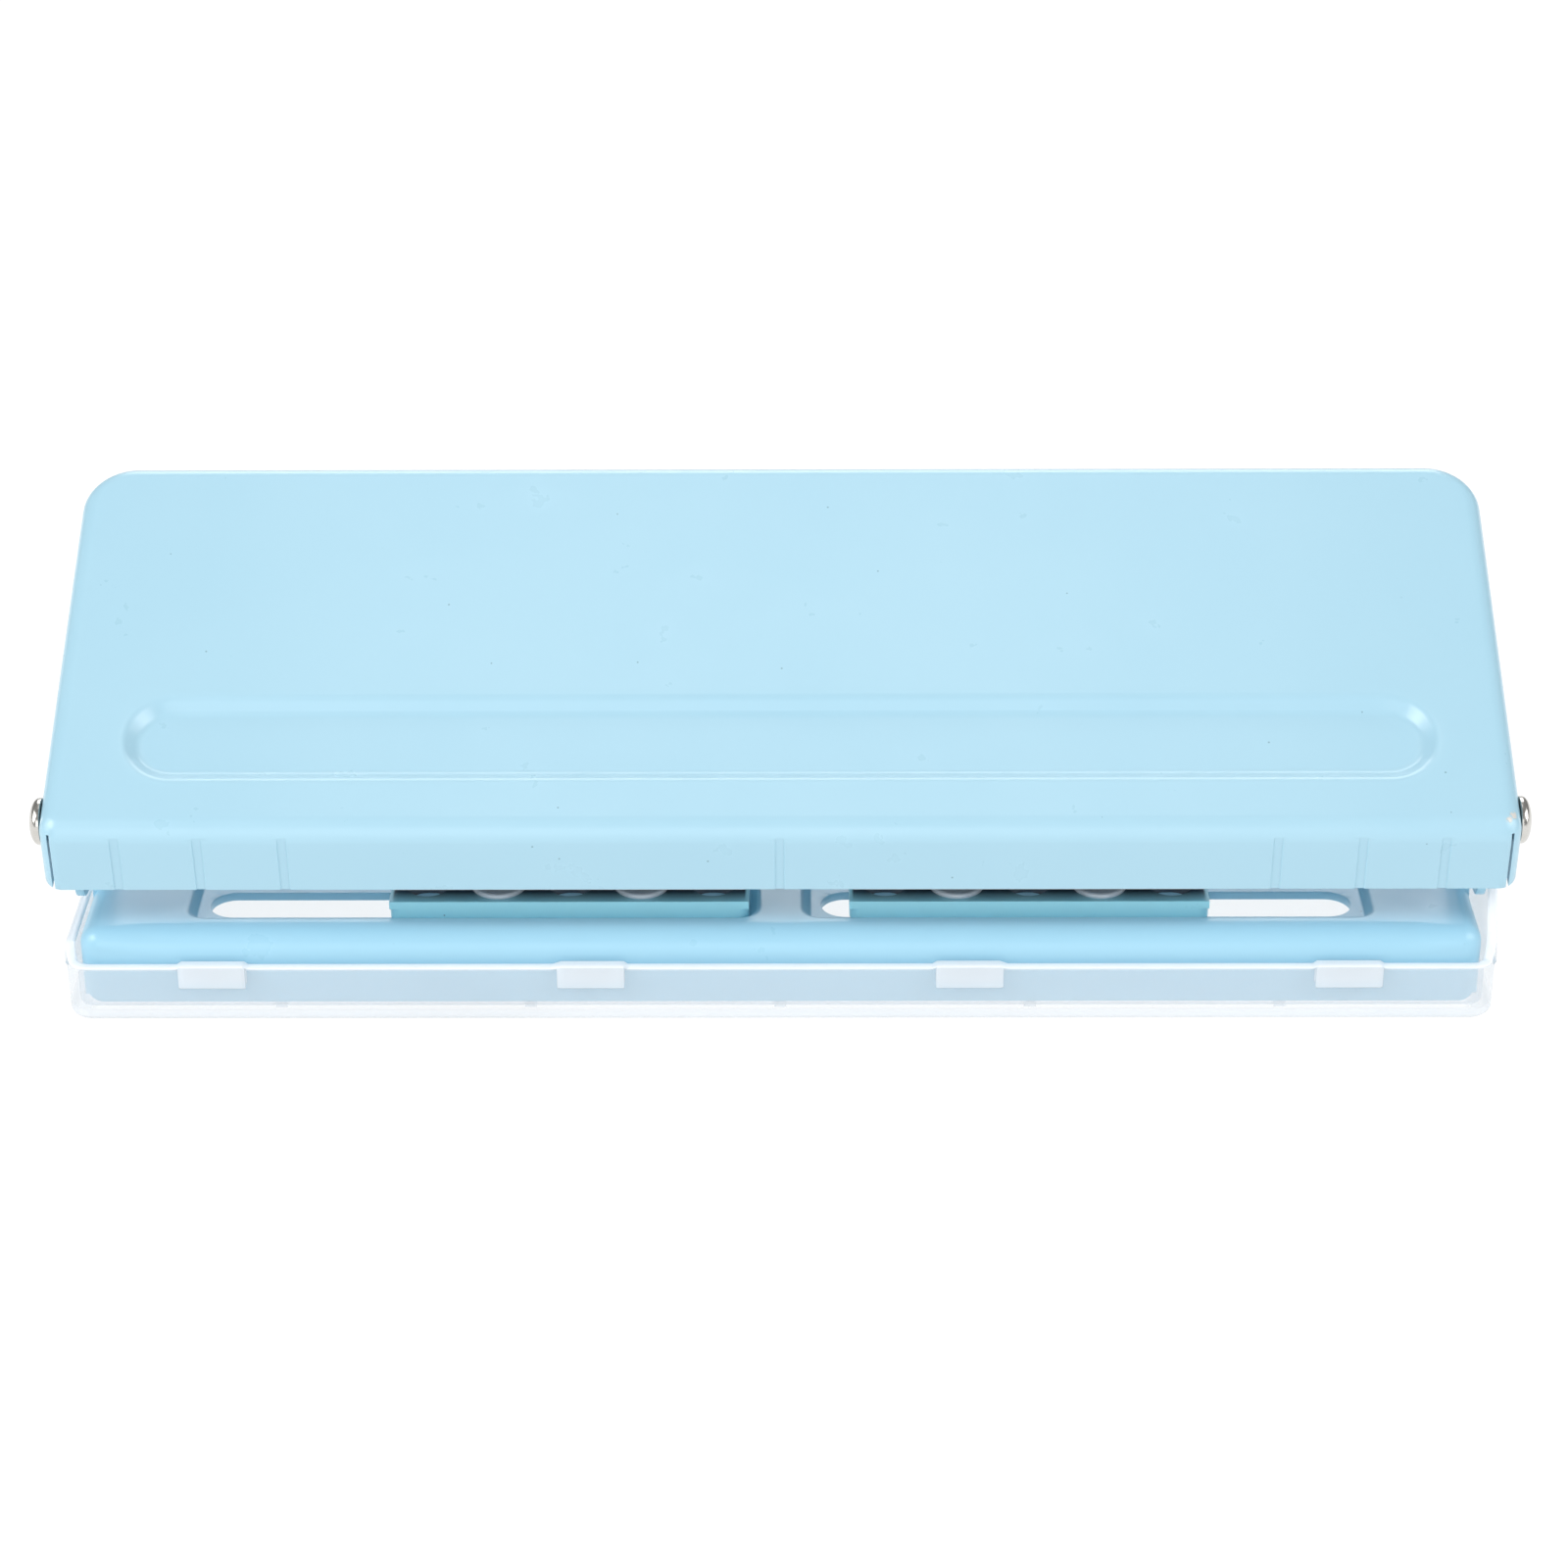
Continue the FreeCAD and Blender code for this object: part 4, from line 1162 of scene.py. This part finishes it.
@dataclass
class LeverPlate:
    """The pressed lever plate: flanged all round, with a long stiffening groove and page marks."""

    sheet: float = 1.2
    half_length: float = 96.0
    depth: float = 62.0
    tilt: float = 26.4
    pivot_from_front: float = 4.35
    pivot_below_top: float = 4.2
    bend: float = 2.3
    front_corner: float = 2.5
    rear_corner: float = 7.2
    front_skirt: float = 9.1
    middle_skirt: float = 8.2
    middle_at: float = 22.0
    rear_skirt: float = 5.2
    spread: float = 19.0
    flange_gap: float = 0.35
    gap_start: float = 1.2
    groove_centre: float = 14.8
    groove_half: float = 6.7
    groove_end: float = 86.2
    groove_sink: float = 1.5
    groove_run: float = 1.9
    groove_roll: float = 1.9
    mark_width: float = 1.3
    mark_depth: float = 0.13
    mark_start: float = 1.5
    mark_slope: float = 0.8
    marks: tuple[float, ...] = (0.0, 64.4, 75.4, 86.1)
    gap_reach: float = 3.2
    cutter_proud: float = 1.0
    cutter_bottom: float = 14.0
    top_run: float = 3.0
    groove_rim: float = 1.3
    groove_floor: float = 3.4
    edge_round: float = 0.16
    rows: int = 6

    def place(self) -> Matrix:
        """Return how the plate, drawn level with its front edge at the origin, is tilted and placed."""
        turn = Matrix.Rotation(math.radians(self.tilt), 4, "X")
        hole = turn @ Vector((0, self.pivot_from_front, -self.pivot_below_top))
        pivot = pivot_point()
        return Matrix.Translation(Vector((0, pivot.y - hole.y, pivot.z - hole.z))) @ turn

    def skirt_depth(self, sample: Sample) -> float:
        """Return how far the flange or skirt hangs below the top.

        Args:
            sample: the place on the outline.

        Returns:
            The depth.
        """
        if sample.y < self.middle_at:
            t = max(0.0, sample.y) / self.middle_at
            return self.front_skirt + (self.middle_skirt - self.front_skirt) * t
        t = min(1.0, (sample.y - self.middle_at) / (self.depth - self.middle_at))
        return self.middle_skirt + (self.rear_skirt - self.middle_skirt) * t

    def lean(self, sample: Sample, fall: float) -> float:
        """Return how far a point at that depth moves forward, following the spread front flange."""
        hold = 1 - smooth((sample.y - self.front_corner) / self.middle_at)
        return -math.tan(math.radians(self.spread)) * fall * hold

    def build(self, material: bpy.types.Material) -> bpy.types.Object:
        """Build the pressing.

        Args:
            material: the enamel.

        Returns:
            The finished piece.
        """
        mesh = RingMesh()
        corners = rectangle(-self.half_length, self.half_length, 0.0, self.depth,
                            self.front_corner, self.rear_corner)
        outline = sample_outline(corners, STRAIGHT_STEP, 14)
        fold = [(self.top_run, 0.0, 0.0), (0.0, 0.0, self.bend), (0.0, -self.top_run - self.bend, 0.0)]
        arc = filleted(fold, 8)[1:-1]
        rings = []
        for inset, height in arc:
            rings.append(mesh.ring(outline, inset, height, lambda s, h=height: self.lean(s, -h)))
        for row in range(1, self.rows + 1):
            t = row / self.rows

            def fall(sample: Sample, t: float = t) -> float:
                """Return the depth of this row at one sample."""
                return self.bend + (self.skirt_depth(sample) - self.bend) * t

            rings.append(mesh.ring(outline, 0.0, lambda s, f=fall: -f(s),
                                   lambda s, f=fall: self.lean(s, f(s))))
        mesh.stack(rings)
        mesh.cap(rings[0], [self.add_groove(mesh)])
        plate = mesh.make("lever_pressing", self.place(), closed=False)
        solidify(plate, self.sheet)
        soften(plate, self.edge_round)
        cutters = self.build_cutters()
        carve(plate, cutters)
        freeze(plate)
        bpy.data.objects.remove(cutters)
        return dress(plate, "handle", material, ["handle_plate"])

    def add_groove(self, mesh: RingMesh) -> Ring:
        """Add the stiffening groove.

        Args:
            mesh: the mesh of the pressing.

        Returns:
            The ring of its rim.
        """
        half = self.groove_half - HAIR
        corners = rectangle(-self.groove_end, self.groove_end, self.groove_centre - self.groove_half,
                            self.groove_centre + self.groove_half, half, half)
        outline = sample_outline(corners, STRAIGHT_STEP, 24)
        points = [(-self.groove_rim, 0.0, 0.0), (0.0, 0.0, self.groove_roll),
                  (self.groove_run, -self.groove_sink, self.groove_roll),
                  (self.groove_floor, -self.groove_sink, 0.0)]
        rings = [mesh.ring(outline, inset, height) for inset, height in filleted(points, 6)]
        mesh.stack(rings)
        mesh.cap(rings[-1])
        return rings[0]

    def build_cutters(self) -> bpy.types.Object:
        """Build the cutters of the page marks and of the gaps beside the front flange."""
        mesh = RingMesh()
        lean = Matrix.Rotation(math.radians(-self.spread), 4, "X")
        cuts = [(x, self.mark_width, self.mark_slope, self.mark_depth, self.mark_start)
                for mark in self.marks for x in sorted({-mark, mark})]
        middle = self.half_length - self.sheet - self.flange_gap / 2
        cuts += [(end.value * middle, self.flange_gap, 0.0, self.gap_reach, self.gap_start) for end in End]
        near, bottom = -self.cutter_proud, -self.cutter_bottom
        for x, width, slope, far, start in cuts:
            wide, narrow = width / 2 - near * slope, width / 2 - far * slope
            corners = [Vector((x - wide, near, bottom)), Vector((x + wide, near, bottom)),
                       Vector((x + narrow, far, bottom)), Vector((x - narrow, far, bottom))]
            rise = Vector((0, 0, -bottom - start))
            mesh.add_plate([lean @ corner for corner in corners], lean.to_3x3() @ rise)
        return mesh.make("lever_cutters", self.place())


@dataclass
class ChipTray:
    """The translucent clip-on tray that catches the chips."""

    half_length: float = 94.2
    half_width: float = 34.55
    wall: float = 1.3
    floor: float = 1.3
    corner: float = 3.4
    fillet: float = 1.0
    foot_run: float = 3.0
    inner_fillet: float = 0.8
    inner_run: float = 3.2
    inner_levels: tuple[float, float] = (7.2, 4.0)
    rim: float = 8.2
    left_wall: float = 10.4
    lug: float = 17.2
    lug_run: float = 4.6
    lug_length: float = 26.0
    tab_rise: float = 0.4
    tab_proud: float = 0.45
    tabs: int = 4
    bead_proud: float = 0.4
    bead_bottom: float = 6.3
    bead_length: float = 5.0
    levels: tuple[float, ...] = (2.6, 4.6, 4.9, 5.1, 5.3, 6.2, 6.4, 6.6, 7.0, 7.4)
    rib_width: float = 1.6
    rib_reach: float = 3.4
    rib_pitch: float = 33.0
    ribs: int = 5
    rib_top: float = 2.0
    rib_sink: float = 0.02
    lip: float = 0.35
    lip_steps: int = 6
    fade: float = 0.35
    spacing: float = 0.55

    def tab_share(self, sample: Sample) -> float:
        """Return 1 on a tab's width and 0 beside it, with a soft edge.

        Args:
            sample: the place on the outline.

        Returns:
            The share of the tab there.
        """
        if abs(sample.ny) < SQUARE_ON:
            return 0.0
        share = 0.0
        for index in range(self.tabs):
            centre = (index - (self.tabs - 1) / 2) * TAB_PITCH
            off = abs(sample.x - centre) - TAB_WIDTH / 2
            share = max(share, 1 - smooth(off / self.fade + 0.5))
        return share

    def bead_share(self, sample: Sample) -> float:
        """Return 1 along the bead on an end wall and 0 elsewhere.

        Args:
            sample: the place on the outline.

        Returns:
            The share of the bead there.
        """
        if abs(sample.nx) < SQUARE_ON:
            return 0.0
        along = sample.y + self.half_width - self.corner
        return smooth(along / self.fade) * smooth((self.bead_length - along) / self.fade)

    def height(self, sample: Sample) -> float:
        """Return the height of the wall's rim: low in front, raised on the left, a lug on the right.

        Args:
            sample: the place on the outline.

        Returns:
            The height.
        """
        along = sample.y + self.half_width - self.wall
        on_an_end = abs(sample.nx) > END_FACING and abs(sample.ny) < SIDE_FACING
        if on_an_end and sample.nx < 0:
            run = self.left_wall - self.rim
            return self.rim + run * smooth(along / run) * smooth((self.half_width - along) / run)
        if on_an_end:
            up = min(1.0, max(0.0, along / self.lug_run))
            foot = 2 * self.lug_run + self.lug_length
            down = min(1.0, max(0.0, (foot - along) / self.lug_run))
            return self.rim + (self.lug - self.rim) * min(up, down)
        return self.rim + self.tab_rise * self.tab_share(sample)

    def proud(self, sample: Sample, level: float) -> float:
        """Return how far the outside stands out at a level.

        Args:
            sample: the place on the outline.
            level: the height of that place.

        Returns:
            The distance outwards.
        """
        tab = self.tab_share(sample) * smooth((level - TAB_BOTTOM) / self.fade)
        bead = self.bead_share(sample) * smooth((level - self.bead_bottom) / self.fade)
        if level > self.rim + self.tab_rise:
            bead = 0.0
        return self.tab_proud * tab + self.bead_proud * bead

    def build(self, material: bpy.types.Material) -> bpy.types.Object:
        """Build the tray.

        Args:
            material: the frosted plastic.

        Returns:
            The finished piece.
        """
        mesh = RingMesh()
        corners = rectangle(-self.half_length, self.half_length, -self.half_width, self.half_width,
                            self.corner, self.corner)
        outline = sample_outline(corners, self.spacing, 12)
        rings = [*self.outer_rings(mesh, outline), *self.lip_rings(mesh, outline),
                 *self.inner_rings(mesh, outline)]
        mesh.stack(rings)
        mesh.cap(rings[0])
        mesh.cap(rings[-1])
        self.add_ribs(mesh)
        tray = mesh.make("clip_on_tray")
        freeze(tray, 40.0)
        return dress(tray, "tray", material, ["chip_tray"])

    def outer_rings(self, mesh: RingMesh, outline: Sequence[Sample]) -> list[Ring]:
        """Return the rings from under the tray up the outside of its walls.

        Args:
            mesh: the mesh to add them to.
            outline: the outside of the tray.

        Returns:
            The rings, lowest first.
        """
        reach = self.foot_run
        foot = filleted([(reach, 0.0, 0.0), (0.0, 0.0, self.fillet), (0.0, reach, 0.0)], 5)[:-1]
        rings = [mesh.ring(outline, inset, level) for inset, level in foot]
        for level in self.levels:
            rings.append(mesh.ring(outline, lambda s, z=level: -self.proud(s, z), level))
        return rings

    def lip_rings(self, mesh: RingMesh, outline: Sequence[Sample]) -> list[Ring]:
        """Return the rings that round the rim from its outside over to its inside.

        Args:
            mesh: the mesh to add them to.
            outline: the outside of the tray.

        Returns:
            The rings, outermost first.
        """
        rings = []
        for step in range(self.lip_steps + 1):
            angle = math.pi * step / self.lip_steps
            across = self.wall / 2 * (1 - math.cos(angle))
            up = self.lip * math.sin(angle) - self.lip
            outer = step <= self.lip_steps // 2

            def inset(sample: Sample, across: float = across, outer: bool = outer) -> float:
                """Return the inset of this ring, whose outer half follows the tabs and beads."""
                return across - (self.proud(sample, self.height(sample)) if outer else 0.0)

            rings.append(mesh.ring(outline, inset, lambda s, u=up: self.height(s) + u))
        return rings

    def inner_rings(self, mesh: RingMesh, outline: Sequence[Sample]) -> list[Ring]:
        """Return the rings down the inside of the walls to the floor.

        Args:
            mesh: the mesh to add them to.
            outline: the outside of the tray.

        Returns:
            The rings, highest first.
        """
        below_rim, above_floor = self.inner_levels
        foot = filleted([(self.wall, above_floor, 0.0), (self.wall, self.floor, self.inner_fillet),
                         (self.inner_run, self.floor, 0.0)], 4)
        return [mesh.ring(outline, inset, level) for inset, level in [(self.wall, below_rim), *foot]]

    def add_ribs(self, mesh: RingMesh) -> None:
        """Add the short ribs on the floor, inside the front and rear walls.

        Args:
            mesh: the mesh of the tray.
        """
        level = self.floor + self.rib_sink
        thickness = Vector((0, 0, self.rib_top - level - self.rib_sink))
        for index in range(self.ribs):
            x = (index - (self.ribs - 1) / 2) * self.rib_pitch
            left, right = x - self.rib_width / 2, x + self.rib_width / 2
            for side in (-1, 1):
                start = side * (self.half_width - self.wall - self.rib_sink)
                end = start - side * self.rib_reach
                corners = [Vector((left, start, level)), Vector((right, start, level)),
                           Vector((right, end, level)), Vector((left, end, level))]
                mesh.add_plate(corners, thickness)


@dataclass
class PivotHardware:
    """The domed rivets and the bushes that the lever turns on."""

    head_radius: float = 3.1
    head_height: float = 1.6
    shank_radius: float = 1.5
    tail_radius: float = 2.3
    tail_height: float = 0.8
    ear_inner: float = 91.1
    head_start: float = 96.1
    tail_round: float = 0.5
    rim_ease: float = 0.12
    rim_height: float = 0.4
    crown_power: float = 0.75
    segments: int = 64

    def rivet_profile(self) -> list[tuple[float, float]]:
        """Return (distance outwards, radius) points of one rivet, from its tail to its crown."""
        points = [(self.ear_inner - self.tail_height, HAIR)]
        for step in range(6):
            angle = math.pi / 2 * step / 5
            points.append((self.ear_inner - self.tail_height * math.cos(angle),
                           self.tail_radius - self.tail_round + self.tail_round * math.sin(angle)))
        rim = self.head_start + self.rim_height
        points += [(self.ear_inner, self.shank_radius), (self.head_start, self.shank_radius),
                   (self.head_start, self.head_radius - self.rim_ease),
                   (self.head_start + self.rim_ease / 2, self.head_radius - self.rim_ease / 6),
                   (rim - 0.05, self.head_radius)]
        crown = self.head_height - self.rim_height
        for step in range(1, 13):
            angle = math.pi / 2 * step / 12
            points.append((rim + crown * math.sin(angle),
                           max(HAIR, self.head_radius * math.cos(angle) ** self.crown_power)))
        return points

    def build(self, finishes: Finishes) -> None:
        """Build both rivets and give the bushes their finish.

        Args:
            finishes: the finishes of the punch.
        """
        for end in End:
            name = end.name.lower()
            rivet = lathe(name + "_domed_rivet", self.rivet_profile(), end, self.segments)
            freeze(rivet, 45.0, weighted=False)
            dress(rivet, "base", finishes.nickel, [name + "_pivot_rivet"])
            paint_node(FRAME["nodes"][name + "_pivot_spacer"], finishes.bush)


def lathe(name: str, profile: Sequence[tuple[float, float]], end: End, segments: int) -> bpy.types.Object:
    """Turn a profile about the lever's pivot axis.

    Args:
        name: name of the piece.
        profile: (distance outwards along X, radius) points.
        end: which end of the punch it is on.
        segments: steps round the axis.

    Returns:
        The turned piece.
    """
    mesh = RingMesh()
    pivot = pivot_point()
    rings = []
    for along, radius in profile:
        ring = []
        for index in range(segments):
            angle = 2 * math.pi * index / segments
            ring.append(mesh.bm.verts.new((end.value * along, pivot.y + radius * math.cos(angle),
                                           pivot.z + radius * math.sin(angle))))
        rings.append(ring)
    mesh.stack(rings)
    mesh.cap(rings[0])
    mesh.cap(rings[-1])
    return mesh.make(name)


@dataclass
class PunchUnit:
    """One sliding unit: frame, guides, pins, clips and coil springs."""

    end: End
    sheet: float = 1.1
    lip: float = 0.3
    wire: float = 0.6
    mean_radius: float = 3.5
    turns: float = 4.5
    dead_turns: float = 0.9
    dead_share: float = 0.083
    stroke: float = 3.2
    pins: tuple[int, ...] = (1, 2, 3)
    steps_per_turn: int = 28
    wire_sides: int = 10

    def enamel(self, name: str) -> bpy.types.Material:
        """Return the unit's enamel, lightened as painted light for its shaded front, with painted shade on
        its die leg.

        Args:
            name: left or right.

        Returns:
            The enamel.
        """
        low, high = box_mm(name + "_slide_plate")
        # painted shade on the die leg, from just behind its front lip back under the lever
        die = PaintedDieShade(centre=(low.x + high.x) / 2, front=low.y + self.lip, top=high.z + self.sheet)
        # painted light: a much lighter copy of the enamel, standing in for light on the unit fronts in the
        # lever's shade
        return EnamelFinish(name=name + "_unit_enamel", colour=(0.42, 0.86, 0.98), pale=(0.43, 0.87, 0.99),
                            gloss=0.3, coat=0.0, die=die).material()

    def build(self, finishes: Finishes) -> None:
        """Give the nodes of the unit their finishes and build its springs.

        Args:
            finishes: the finishes of the punch.
        """
        name = self.end.name.lower()
        enamel = self.enamel(name)
        finish_of = {
            "_punch_frame": enamel,
            "_slide_plate": enamel,
            "_lower_guide": finishes.zinc,
            "_keeper_plate": finishes.zinc,
            "_guide_rivets": finishes.satin,
        }
        for number in self.pins:
            finish_of["_punch_pin_%d" % number] = finishes.tool
            finish_of["_pin_clip_%d" % number] = finishes.spring
        for suffix, material in finish_of.items():
            paint_node(FRAME["nodes"][name + suffix], material)
        for number in self.pins:
            self.build_spring(name, number, finishes.spring)

    def build_spring(self, name: str, number: int, material: bpy.types.Material) -> None:
        """Build one coil spring with closed ends.

        Args:
            name: left or right.
            number: number of its pin.
            material: its finish.
        """
        node = "%s_return_spring_%d" % (name, number)
        low, high = box_mm(node)
        x, y = (low.x + high.x) / 2, (low.y + high.y) / 2
        bottom, top = low.z + self.wire / 2, high.z - self.wire / 2
        total = self.turns + 2 * self.dead_turns
        count = int(total * self.steps_per_turn)
        path = []
        for index in range(count + 1):
            turn = total * index / count
            path.append(Vector((x + self.mean_radius * math.cos(2 * math.pi * turn),
                                y + self.mean_radius * math.sin(2 * math.pi * turn),
                                bottom + (top - bottom) * self.rise(turn, total))))
        spring = tube("%s_coil_%d" % (name, number), path, self.wire / 2, self.wire_sides)
        freeze(spring, 60.0, weighted=False)
        dress(spring, name + "_unit", material, [node])
        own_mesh(spring)

    def rise(self, turn: float, total: float) -> float:
        """Return how far up the spring a turn is, with closed end turns.

        Args:
            turn: turns from its lower end.
            total: turns in all.

        Returns:
            The share of its height, from 0 to 1.
        """
        dead = self.dead_share
        if turn < self.dead_turns:
            return dead * turn / self.dead_turns
        if turn > total - self.dead_turns:
            return 1 - dead * (total - turn) / self.dead_turns
        t = (turn - self.dead_turns) / self.turns
        return dead + (1 - 2 * dead) * t


def tube(name: str, path: Sequence[Vector], radius: float, sides: int) -> bpy.types.Object:
    """Sweep a round wire along a path.

    Args:
        name: name of the piece.
        path: points of the centreline.
        radius: radius of the wire.
        sides: number of sides of its section.

    Returns:
        The swept piece.
    """
    mesh = RingMesh()
    rings = []
    for index, point in enumerate(path):
        ahead = path[min(index + 1, len(path) - 1)] - path[max(index - 1, 0)]
        tangent = ahead.normalized()
        side = tangent.cross(Vector((0, 0, 1))).normalized()
        up = side.cross(tangent)
        ring = []
        for step in range(sides):
            angle = 2 * math.pi * step / sides
            spoke = side * (radius * math.cos(angle)) + up * (radius * math.sin(angle))
            ring.append(mesh.bm.verts.new(point + spoke))
        rings.append(ring)
    mesh.stack(rings)
    mesh.cap(rings[0])
    mesh.cap(rings[-1])
    return mesh.make(name)


def paint_node(node: bpy.types.Object, material: bpy.types.Material) -> None:
    """Give a node that is shown as it is its finish.

    Args:
        node: the node.
        material: its finish.
    """
    node.data.materials.clear()
    node.data.materials.append(material)
    for polygon in node.data.polygons:
        polygon.use_smooth = True
    node.data.set_sharp_from_angle(angle=math.radians(30))


# ---------------------------------------------------------------------------------------------
# Studio
# ---------------------------------------------------------------------------------------------


@dataclass
class Studio:
    """Floor, lights and camera; floor and lights (name, place, size, power) are in metres and watts."""

    elevation: float = 27.705
    azimuth: float = -0.349
    roll: float = -0.233
    distance: float = 521.43
    target: Place = (0.48, -13.0, 23.98)
    lens: float = 89.246
    sensor: float = 36.0
    world_strength: float = 0.267
    floor_size: float = 60.0
    floor_drop: float = 0.00005
    floor_glow: float = 0.97
    aim: Place = (0.0, 0.0, 0.02)
    lights: tuple[tuple[str, Place, float, float], ...] = (
        ("overhead", (0.0, 0.22, 1.2), 0.45, 0.83),
        ("front_left", (-0.85, -0.7, 0.95), 0.7, 8.3),
        ("front_right", (0.85, -0.7, 0.95), 0.7, 4.9),
        ("front_low", (-0.1, -1.25, 0.40), 0.7, 2.5),
        ("left", (-1.0, -0.4, 0.6), 0.8, 4.8),
        ("right", (1.0, -0.4, 0.6), 0.8, 5.0),
        ("rear", (0.0, 1.1, 0.8), 0.9, 7.8),
    )

    def camera(self) -> None:
        """Place the camera."""
        tilt, turn, lean = (math.radians(a) for a in (self.elevation, self.azimuth, self.roll))
        ahead = Vector((math.sin(turn) * math.cos(tilt), math.cos(turn) * math.cos(tilt), -math.sin(tilt)))
        right = ahead.cross(Vector((0, 0, 1))).normalized()
        up = right.cross(ahead)
        right, up = right * math.cos(lean) + up * math.sin(lean), up * math.cos(lean) - right * math.sin(lean)
        place = Matrix((right, up, -ahead)).transposed().to_4x4()
        place.translation = (Vector(self.target) - ahead * self.distance) * MM
        data = bpy.data.cameras.new("studio_camera")
        data.lens = self.lens
        data.sensor_width = self.sensor
        data.clip_start = 0.01
        data.dof.use_dof = False
        camera = bpy.data.objects.new("studio_camera", data)
        camera.matrix_world = place
        bpy.context.scene.collection.objects.link(camera)
        bpy.context.scene.camera = camera

    def floor(self) -> None:
        """Lay the pale floor, a light table that shines softly up through the tray."""
        half = self.floor_size / 2
        mesh = bpy.data.meshes.new("floor")
        level = -self.floor_drop
        corners = [(-half, -half, level), (half, -half, level), (half, half, level), (-half, half, level)]
        mesh.from_pydata(corners, [], [(0, 1, 2, 3)])
        floor = bpy.data.objects.new("floor", mesh)
        bpy.context.scene.collection.objects.link(floor)
        graph = Graph("pale_floor")
        graph.constants(Specular_IOR_Level=0.1, Emission_Color=(1, 1, 1, 1),
                        Emission_Strength=self.floor_glow)
        tone = graph.mix(graph.noise(60.0, 2.0), (0.06, 0.06, 0.06), (0.08, 0.08, 0.08))
        mesh.materials.append(graph.paint(tone, graph.spread(graph.noise(8.0), 0.7, 0.8)))
        floor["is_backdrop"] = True

    def world(self) -> None:
        """Set the even white surround and a plain view transform."""
        world = bpy.data.worlds.new("white_surround")
        world.use_nodes = True
        background = world.node_tree.nodes["Background"]
        background.inputs["Color"].default_value = (1, 1, 1, 1)
        background.inputs["Strength"].default_value = self.world_strength
        bpy.context.scene.world = world
        bpy.context.scene.view_settings.view_transform = "Standard"

    def lamps(self) -> None:
        """Hang the soft lights, each facing the object."""
        for name, place, size, power in self.lights:
            data = bpy.data.lights.new(name, "AREA")
            data.size = size
            data.energy = power
            lamp = bpy.data.objects.new(name, data)
            lamp.location = place
            lamp.rotation_euler = (Vector(self.aim) - Vector(place)).to_track_quat("-Z", "Y").to_euler()
            bpy.context.scene.collection.objects.link(lamp)

    def build(self) -> None:
        """Set up the whole studio."""
        self.camera()
        self.floor()
        self.world()
        self.lamps()


def corners_of(bounds: Sequence[Sequence[float]]) -> list[list[float]]:
    """Return a pair of corners as plain lists of numbers."""
    return [[float(value) for value in corner] for corner in bounds]


def lever_chips() -> tuple[Chip, ...]:
    """Return where the lever's enamel has come off: two nicks on the corner above the right rivet."""
    pivot = pivot_point()
    return (Chip((94.8, pivot.y - 3.6, pivot.z + 2.6), 0.50),
            Chip((94.15, pivot.y - 4.3, pivot.z + 2.35), 0.36))


def main(cad_box: list[list[float]]) -> None:
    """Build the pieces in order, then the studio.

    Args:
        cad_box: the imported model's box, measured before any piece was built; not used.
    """
    Studio().build()
    finishes = Finishes.make(lever_chips())
    BasePlate().build(finishes.enamel)
    LeverPlate().build(finishes.lever_enamel)
    ChipTray().build(finishes.tray)
    PivotHardware().build(finishes)
    for end in End:
        PunchUnit(end).build(finishes)


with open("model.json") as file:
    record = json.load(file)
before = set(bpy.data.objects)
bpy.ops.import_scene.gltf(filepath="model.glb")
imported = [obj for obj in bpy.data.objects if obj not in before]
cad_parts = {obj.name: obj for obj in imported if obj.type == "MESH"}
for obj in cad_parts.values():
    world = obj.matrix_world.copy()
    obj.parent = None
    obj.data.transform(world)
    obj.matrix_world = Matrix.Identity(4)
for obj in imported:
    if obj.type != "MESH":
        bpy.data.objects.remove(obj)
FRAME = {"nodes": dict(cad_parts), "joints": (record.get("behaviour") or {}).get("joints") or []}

if __name__ == "__main__":
    logging.basicConfig(level=logging.INFO, format="%(name)s: %(message)s")
    main(corners_of(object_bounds()))
